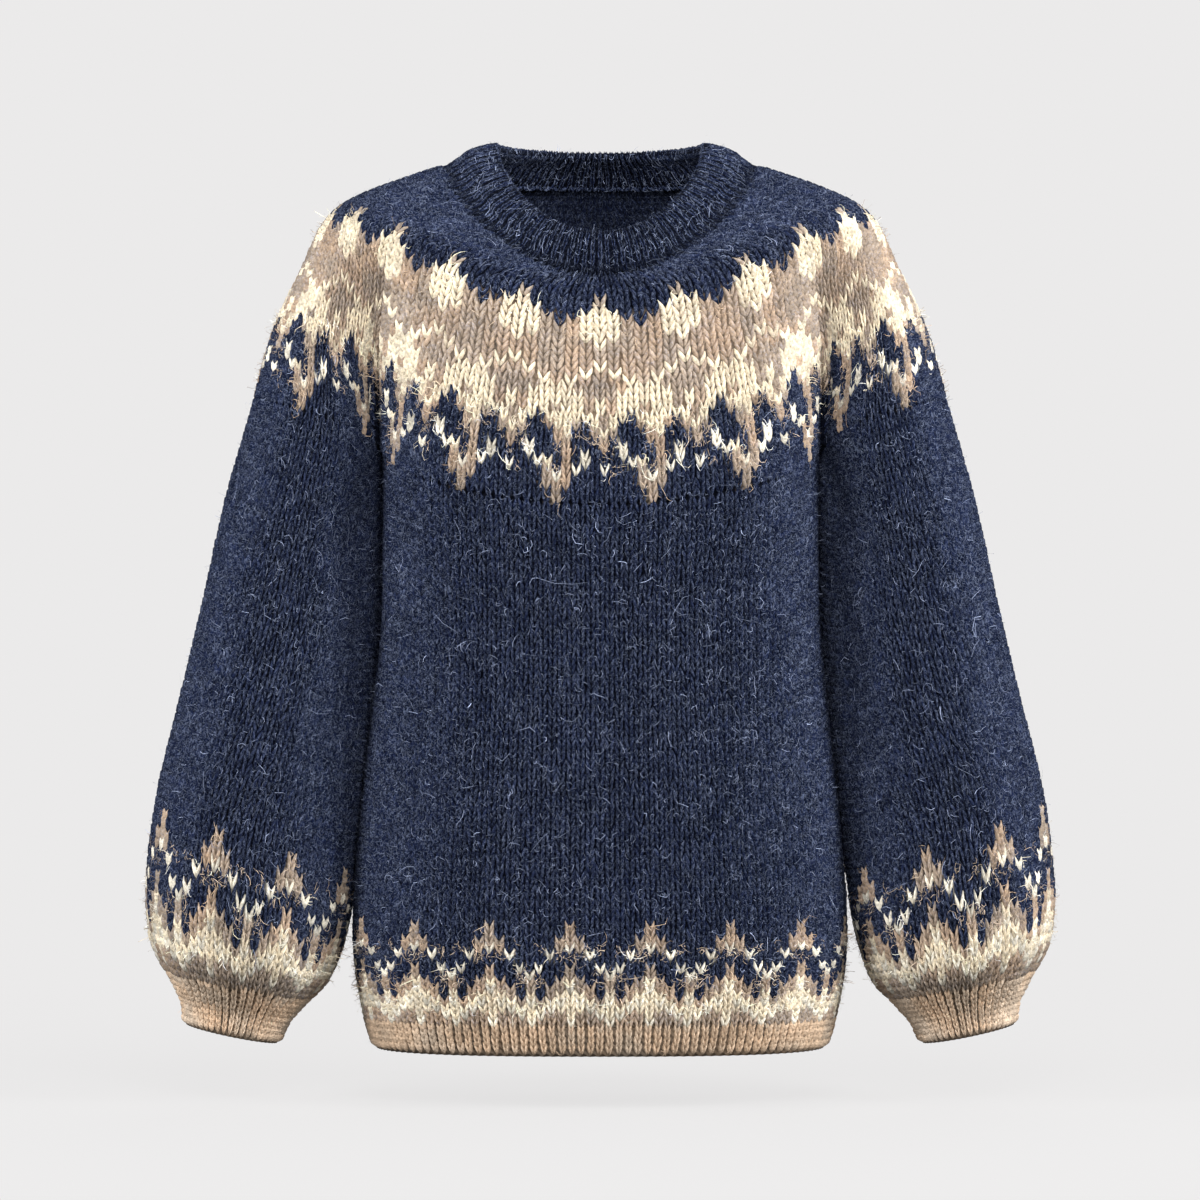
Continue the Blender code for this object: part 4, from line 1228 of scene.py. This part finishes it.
# ---- wool -------------------------------------------------------------------------------
def new_group(name, inputs, outputs):
    """An empty shader group with these sockets, and its two ends."""
    group = bpy.data.node_groups.new(name, "ShaderNodeTree")
    for socket, kind, value in inputs:
        made = group.interface.new_socket(socket, in_out="INPUT", socket_type=kind)
        if value is not None:
            made.default_value = value
    for socket, kind in outputs:
        group.interface.new_socket(socket, in_out="OUTPUT", socket_type=kind)
    return group, group.nodes.new("NodeGroupInput"), group.nodes.new("NodeGroupOutput")


def add_math(group, operation, first, second=None, third=None, clamp=False):
    """A Math node on sockets or numbers, and its result."""
    node = group.nodes.new("ShaderNodeMath")
    node.operation = operation
    node.use_clamp = clamp
    for socket, value in zip(node.inputs, (first, second, third)):
        if isinstance(value, (int, float)):
            socket.default_value = value
        elif value is not None:
            group.links.new(value, socket)
    return node.outputs[0]


def strand_places(group):
    """Where a point lies across and along its strand, or across and down the cloth."""
    strand = group.nodes.new("ShaderNodeUVMap")
    strand.uv_map = "strand"
    split = group.nodes.new("ShaderNodeSeparateXYZ")
    group.links.new(strand.outputs[0], split.inputs[0])
    return split.outputs["X"], split.outputs["Y"]


def add_waves(group, turns):
    """The sine of a socket that counts turns."""
    return add_math(group, "SINE", add_math(group, "MULTIPLY", turns, 2 * math.pi))


def spun_wool_group():
    """Spun wool: mottled shades, pale hairs over the yarn, and the twist of its plies."""
    name = "Spun Wool"
    if name in bpy.data.node_groups:
        return bpy.data.node_groups[name]
    group, start, end = new_group(
        name,
        (("Colour", "NodeSocketColor", None), ("Hair Colour", "NodeSocketColor", None),
         ("Haze", "NodeSocketFloat", 1.0), ("Hair", "NodeSocketFloat", 0.3),
         ("Mottle", "NodeSocketFloat", 0.3), ("Twist", "NodeSocketFloat", 0.5)),
        (("Colour", "NodeSocketColor"), ("Roughness", "NodeSocketFloat"),
         ("Height", "NodeSocketFloat")))
    links, nodes = group.links, group.nodes
    place = nodes.new("ShaderNodeTexCoord").outputs["Object"]

    def noise(scale, detail, roughness, distortion=0.0, vector=place):
        node = nodes.new("ShaderNodeTexNoise")
        for socket, value in (("Scale", scale), ("Detail", detail), ("Roughness", roughness),
                              ("Distortion", distortion)):
            node.inputs[socket].default_value = value
        links.new(vector, node.inputs["Vector"])
        return node.outputs["Fac"]

    def curls(scale, thin, distortion, shift):
        """Thin curly lines, where a noise crosses its middle value."""
        moved = nodes.new("ShaderNodeVectorMath")
        moved.operation = "ADD"
        links.new(place, moved.inputs[0])
        moved.inputs[1].default_value = (shift, shift * 0.7, -shift)
        wave = noise(scale, 0.0, 0.5, distortion, moved.outputs[0])
        wave = add_math(group, "ABSOLUTE", add_math(group, "SUBTRACT", wave, 0.5))
        return add_math(group, "MULTIPLY_ADD", wave, -thin, 1.0, clamp=True)

    clouds = noise(*CLOUDS)
    swing = add_math(group, "SUBTRACT", clouds, 0.5)
    swing = add_math(group, "MULTIPLY", swing, start.outputs["Mottle"])
    shaded = nodes.new("ShaderNodeVectorMath")
    shaded.operation = "SCALE"
    links.new(start.outputs["Colour"], shaded.inputs[0])
    links.new(add_math(group, "MULTIPLY_ADD", swing, CLOUD_CONTRAST, 1.0),
              shaded.inputs["Scale"])

    patches = add_math(group, "MULTIPLY_ADD", noise(*PATCHES), PATCH_CONTRAST, PATCH_LEVEL,
                       clamp=True)
    hairs = add_math(group, "MAXIMUM", *(curls(*values) for values in HAIR_CURLS))
    hairs = add_math(group, "MULTIPLY", hairs, patches)
    hairs = add_math(group, "MULTIPLY", hairs, start.outputs["Haze"])
    hairs = add_math(group, "MULTIPLY", hairs, start.outputs["Hair"], clamp=True)
    lighter = nodes.new("ShaderNodeVectorMath")
    lighter.operation = "MULTIPLY_ADD"
    links.new(shaded.outputs[0], lighter.inputs[0])
    lighter.inputs[1].default_value = (UNDER_HAIR,) * 3
    links.new(start.outputs["Hair Colour"], lighter.inputs[2])
    haze = nodes.new("ShaderNodeMix")
    haze.data_type = "RGBA"
    links.new(hairs, haze.inputs["Factor"])
    links.new(shaded.outputs[0], haze.inputs[MIX_FIRST])
    links.new(lighter.outputs[0], haze.inputs[MIX_SECOND])
    links.new(haze.outputs[MIX_RESULT], end.inputs["Colour"])

    across, along = strand_places(group)
    ply = add_waves(group, add_math(group, "MULTIPLY_ADD", along, PLY_TURNS, across))
    ply = add_math(group, "MULTIPLY", ply, start.outputs["Twist"])
    links.new(add_math(group, "MULTIPLY_ADD", hairs, HAIR_RELIEF, ply), end.inputs["Height"])
    links.new(add_math(group, "MULTIPLY_ADD", clouds, CLOUD_ROUGHNESS, WOOL_ROUGHNESS),
              end.inputs["Roughness"])
    return group


def purl_group():
    """The bars of the knit's wrong side, and of the gaps between its stitches."""
    name = "Purl Side"
    if name in bpy.data.node_groups:
        return bpy.data.node_groups[name]
    group, _, end = new_group(name, (), (("Height", "NodeSocketFloat"),))
    across, along = strand_places(group)
    wave = add_math(group, "MULTIPLY_ADD", add_waves(group, across), PURL_WAVE, along)
    group.links.new(add_waves(group, wave), end.inputs["Height"])
    return group


def wool_material(node, is_cloth):
    """The wool of a piece's stitches and fibres, or of the cloth beneath them."""
    name = node + ("_knit_cloth" if is_cloth else "_wool")
    if name in bpy.data.materials:
        return bpy.data.materials[name]
    finish = row(FINISH_COLUMNS, FINISHES[node])
    material = bpy.data.materials.new(name)
    material.use_nodes = True
    nodes, links = material.node_tree.nodes, material.node_tree.links
    shader = nodes["Principled BSDF"]
    shader.inputs["Sheen Weight"].default_value = finish["sheen"]
    shader.inputs["Sheen Roughness"].default_value = SHEEN_ROUGHNESS
    shader.inputs["Sheen Tint"].default_value = (*finish["sheen_tint"], 1)
    shader.inputs["Specular IOR Level"].default_value = GLOSS
    yarn = nodes.new("ShaderNodeAttribute")
    yarn.attribute_name = "yarn"
    wool = nodes.new("ShaderNodeGroup")
    wool.node_tree = spun_wool_group()
    wool.inputs["Hair Colour"].default_value = (*finish["hair_colour"], 1)
    wool.inputs["Hair"].default_value = finish["hair"]
    wool.inputs["Mottle"].default_value = finish["mottle"]
    wool.inputs["Twist"].default_value = 0.0 if is_cloth else finish["twist"]
    links.new(yarn.outputs["Color"], wool.inputs["Colour"])
    links.new(yarn.outputs["Alpha"], wool.inputs["Haze"])
    links.new(wool.outputs["Colour"], shader.inputs["Base Color"])
    links.new(wool.outputs["Roughness"], shader.inputs["Roughness"])
    bump = nodes.new("ShaderNodeBump")
    bump.inputs["Strength"].default_value = BUMP_STRENGTH
    bump.inputs["Distance"].default_value = CLOTH_BUMP if is_cloth else STITCH_BUMP
    height = wool.outputs["Height"]
    if is_cloth:
        purl = nodes.new("ShaderNodeGroup")
        purl.node_tree = purl_group()
        height = add_math(material.node_tree, "MULTIPLY_ADD", height, CLOTH_FUZZ,
                          purl.outputs["Height"])
    links.new(height, bump.inputs["Height"])
    links.new(bump.outputs["Normal"], shader.inputs["Normal"])
    return material


# ---- studio -----------------------------------------------------------------------------
def add_light(name, place, aim, size, power):
    """A soft square light that looks at a point."""
    data = bpy.data.lights.new(name, "AREA")
    data.shape, data.size, data.energy = "SQUARE", size, power
    light = bpy.data.objects.new(name, data)
    bpy.context.scene.collection.objects.link(light)
    light.location = place
    light.rotation_euler = (Vector(aim) - Vector(place)).to_track_quat("-Z", "Y").to_euler()


def make_floor(stage):
    """A pale round floor under the sweater that fades into the backdrop."""
    bpy.ops.mesh.primitive_circle_add(vertices=FLOOR_SIDES, radius=stage.floor_radius,
                                      fill_type="NGON", location=(0, 0, stage.floor_height))
    floor = bpy.context.object
    floor.name = "studio_floor"
    material = bpy.data.materials.new("studio_floor")
    material.use_nodes = True
    nodes, links = material.node_tree.nodes, material.node_tree.links
    nodes.remove(nodes["Principled BSDF"])
    paper = nodes.new("ShaderNodeBsdfDiffuse")
    paper.inputs["Color"].default_value = (*stage.floor_colour, 1)
    clear = nodes.new("ShaderNodeBsdfTransparent")
    mix = nodes.new("ShaderNodeMixShader")
    spot = nodes.new("ShaderNodeVectorMath")
    spot.operation = "LENGTH"
    links.new(nodes.new("ShaderNodeTexCoord").outputs["Object"], spot.inputs[0])
    fade = nodes.new("ShaderNodeMapRange")
    fade.interpolation_type = "SMOOTHSTEP"
    fade.inputs["From Min"].default_value = stage.floor_radius * FLOOR_FADE[0]
    fade.inputs["From Max"].default_value = stage.floor_radius * FLOOR_FADE[1]
    fade.inputs["To Min"].default_value = 1 - stage.floor_opacity
    links.new(spot.outputs["Value"], fade.inputs["Value"])
    links.new(fade.outputs["Result"], mix.inputs["Fac"])
    links.new(paper.outputs[0], mix.inputs[1])
    links.new(clear.outputs[0], mix.inputs[2])
    links.new(mix.outputs[0], nodes["Material Output"].inputs["Surface"])
    floor.data.materials.append(material)


def make_world(stage):
    """A pale backdrop for the camera and an even soft light for the wool."""
    world = bpy.data.worlds.new("studio")
    bpy.context.scene.world = world
    world.use_nodes = True
    nodes, links = world.node_tree.nodes, world.node_tree.links
    light = nodes["Background"]
    light.inputs["Color"].default_value = (1, 1, 1, 1)
    light.inputs["Strength"].default_value = stage.sky_light
    backdrop = nodes.new("ShaderNodeBackground")
    backdrop.inputs["Color"].default_value = (*stage.backdrop_colour, 1)
    mix = nodes.new("ShaderNodeMixShader")
    links.new(nodes.new("ShaderNodeLightPath").outputs["Is Camera Ray"], mix.inputs["Fac"])
    links.new(light.outputs[0], mix.inputs[1])
    links.new(backdrop.outputs[0], mix.inputs[2])
    links.new(mix.outputs[0], nodes["World Output"].inputs["Surface"])


def make_camera(stage):
    """A level camera in front, far enough for a flat view."""
    data = bpy.data.cameras.new("camera")
    data.sensor_width = SENSOR_WIDTH
    data.lens = data.sensor_width * stage.camera_distance / stage.view_width
    camera = bpy.data.objects.new("camera", data)
    bpy.context.scene.collection.objects.link(camera)
    camera.location = (0, -stage.camera_distance, stage.camera_height)
    camera.rotation_euler = (math.pi / 2, 0, 0)
    bpy.context.scene.camera = camera


# ---- the add-on -------------------------------------------------------------------------
def colour_property(name, description, default):
    """A linear colour of three parts."""
    return bpy.props.FloatVectorProperty(name=name, description=description, default=default,
                                         subtype="COLOR", size=3, min=0, max=1)


def number_property(name, description, default, **limits):
    """A number with its unit and its limits."""
    return bpy.props.FloatProperty(name=name, description=description, default=default, **limits)


class SweaterWool(bpy.types.PropertyGroup):
    """The yarns and how hairy they are."""

    navy: colour_property("Navy", "Main colour of the sweater", (0.0075, 0.0112, 0.0300))
    beige: colour_property("Tan", "Warm tan of the band and the ribs", (0.385, 0.280, 0.195))
    taupe: colour_property("Taupe", "Greyer tan that is spun in among the warm one",
                           (0.33, 0.262, 0.200))
    cream: colour_property("Cream", "Light yarn of the pattern", (0.74, 0.64, 0.475))
    white: colour_property("White", "Single bright stitches of the pattern", (0.70, 0.645, 0.53))
    haze: colour_property("Haze", "Pale hairs that stand off the navy wool", (0.15, 0.175, 0.25))
    relief: number_property("Relief", "Height of the stitches over their usual height", 1.0,
                            min=0.2, max=2)
    fibre_length: number_property("Fibre length", "Usual length of a loose fibre", 0.0085,
                                  min=0.001, max=0.03, unit="LENGTH", precision=4)
    fibre_width: number_property("Fibre width", "Width of a loose fibre at its root", 0.00026,
                                 min=0.00005, max=0.001, unit="LENGTH", precision=5)
    fibre_lift: number_property("Fibre lift", "How far loose fibres stand off the knit", 0.0022,
                                min=0, max=0.01, unit="LENGTH", precision=4)
    haze_fibres: number_property("Haze fibres", "Loose fibres to a navy stitch", 1.1, min=0)
    pale_fibres: number_property("Pale fibres", "Loose fibres to a pale stitch", 0.35, min=0)
    border_fibres: number_property("Border fibres", "Loose fibres to a pale stitch beside navy",
                                   3.4, min=0)
    tangle_fibres: number_property(
        "Tangle fibres", "Loose fibres to a navy stitch with pale wool caught in it", 7.0, min=0)


class SweaterStage(bpy.types.PropertyGroup):
    """The studio round the sweater."""

    floor_height: number_property("Floor height", "Height of the floor", -0.69, unit="LENGTH")
    floor_radius: number_property("Floor radius", "Size of the round floor", 1.6, unit="LENGTH")
    floor_colour: colour_property("Floor", "Colour of the floor", (0.58, 0.58, 0.58))
    floor_opacity: number_property(
        "Floor opacity", "How much of the floor and its shadow shows", 0.095, min=0, max=1)
    backdrop_colour: colour_property("Backdrop", "Colour behind the sweater",
                                     (0.831, 0.823, 0.823))
    sky_light: number_property("Sky light", "Strength of the even light", 0.30, min=0)
    key_power: number_property(
        "Key light", "Power of the light from the right of the view", 92, min=0, unit="POWER")
    fill_power: number_property(
        "Fill light", "Power of the light from the other side", 65, min=0, unit="POWER")
    front_power: number_property(
        "Front light", "Power of the light over the camera", 88, min=0, unit="POWER")
    back_power: number_property(
        "Back light", "Power of the soft light behind the sweater", 50, min=0, unit="POWER")
    camera_distance: number_property(
        "Camera distance", "From the camera to the sweater's middle", 4.5, unit="LENGTH")
    camera_height: number_property(
        "Camera height", "Height of the level camera", -0.3204, unit="LENGTH")
    view_width: number_property(
        "View width", "Width seen at the sweater's middle", 0.888, unit="LENGTH")


class SWEATER_OT_neckband(bpy.types.Operator):
    """Knit the folded neckband"""

    bl_idname = "sweater.neckband"
    bl_label = "Knit neckband"

    def execute(self, context):
        knit_neckband()
        return {"FINISHED"}


class SWEATER_OT_yoke(bpy.types.Operator):
    """Knit the round patterned yoke"""

    bl_idname = "sweater.yoke"
    bl_label = "Knit yoke"

    def execute(self, context):
        knit_yoke()
        return {"FINISHED"}


class SWEATER_OT_body(bpy.types.Operator):
    """Knit the front and the back of the body"""

    bl_idname = "sweater.body"
    bl_label = "Knit body"

    def execute(self, context):
        knit_body()
        return {"FINISHED"}


class SWEATER_OT_hem(bpy.types.Operator):
    """Knit the rib at the foot of the body"""

    bl_idname = "sweater.hem"
    bl_label = "Knit hem"

    def execute(self, context):
        knit_hem()
        return {"FINISHED"}


class SWEATER_OT_sleeves(bpy.types.Operator):
    """Knit both sleeves and their cuffs"""

    bl_idname = "sweater.sleeves"
    bl_label = "Knit sleeves"

    def execute(self, context):
        knit_sleeves()
        return {"FINISHED"}


class SWEATER_OT_stage(bpy.types.Operator):
    """Set the floor, the backdrop, the lights and the camera"""

    bl_idname = "sweater.stage"
    bl_label = "Set stage"

    def execute(self, context):
        stage = context.scene.sweater_stage
        make_floor(stage)
        make_world(stage)
        aim = (0, 0, (MODEL_BOX[0][2] + MODEL_BOX[1][2]) / 2)
        for name, (place, size, power) in LIGHTS.items():
            add_light(name, place, aim, size, getattr(stage, power))
        make_camera(stage)
        context.scene.view_settings.view_transform = "Standard"
        return {"FINISHED"}


class SWEATER_PT_panel(bpy.types.Panel):
    """Lists the steps of the sweater"""

    bl_idname = "SWEATER_PT_panel"
    bl_label = "Nordic Yoke Sweater"
    bl_space_type = "VIEW_3D"
    bl_region_type = "UI"
    bl_category = "Sweater"

    def draw(self, context):
        for group, title in ((context.scene.sweater_wool, "Wool"),
                             (context.scene.sweater_stage, "Stage")):
            box = self.layout.box()
            box.label(text=title)
            for name in group.__annotations__:
                box.prop(group, name)
        for step in STEPS:
            self.layout.operator(step.bl_idname)


STEPS = (SWEATER_OT_neckband, SWEATER_OT_yoke, SWEATER_OT_body, SWEATER_OT_hem,
         SWEATER_OT_sleeves, SWEATER_OT_stage)
CLASSES = (SweaterWool, SweaterStage) + STEPS + (SWEATER_PT_panel,)


def register():
    for made in CLASSES:
        bpy.utils.register_class(made)
    bpy.types.Scene.sweater_wool = bpy.props.PointerProperty(type=SweaterWool)
    bpy.types.Scene.sweater_stage = bpy.props.PointerProperty(type=SweaterStage)


def unregister():
    del bpy.types.Scene.sweater_stage
    del bpy.types.Scene.sweater_wool
    for made in reversed(CLASSES):
        bpy.utils.unregister_class(made)


def main():
    register()
    bpy.ops.sweater.neckband()
    bpy.ops.sweater.yoke()
    bpy.ops.sweater.body()
    bpy.ops.sweater.hem()
    bpy.ops.sweater.sleeves()
    bpy.ops.sweater.stage()


if __name__ == "__main__":
    main()
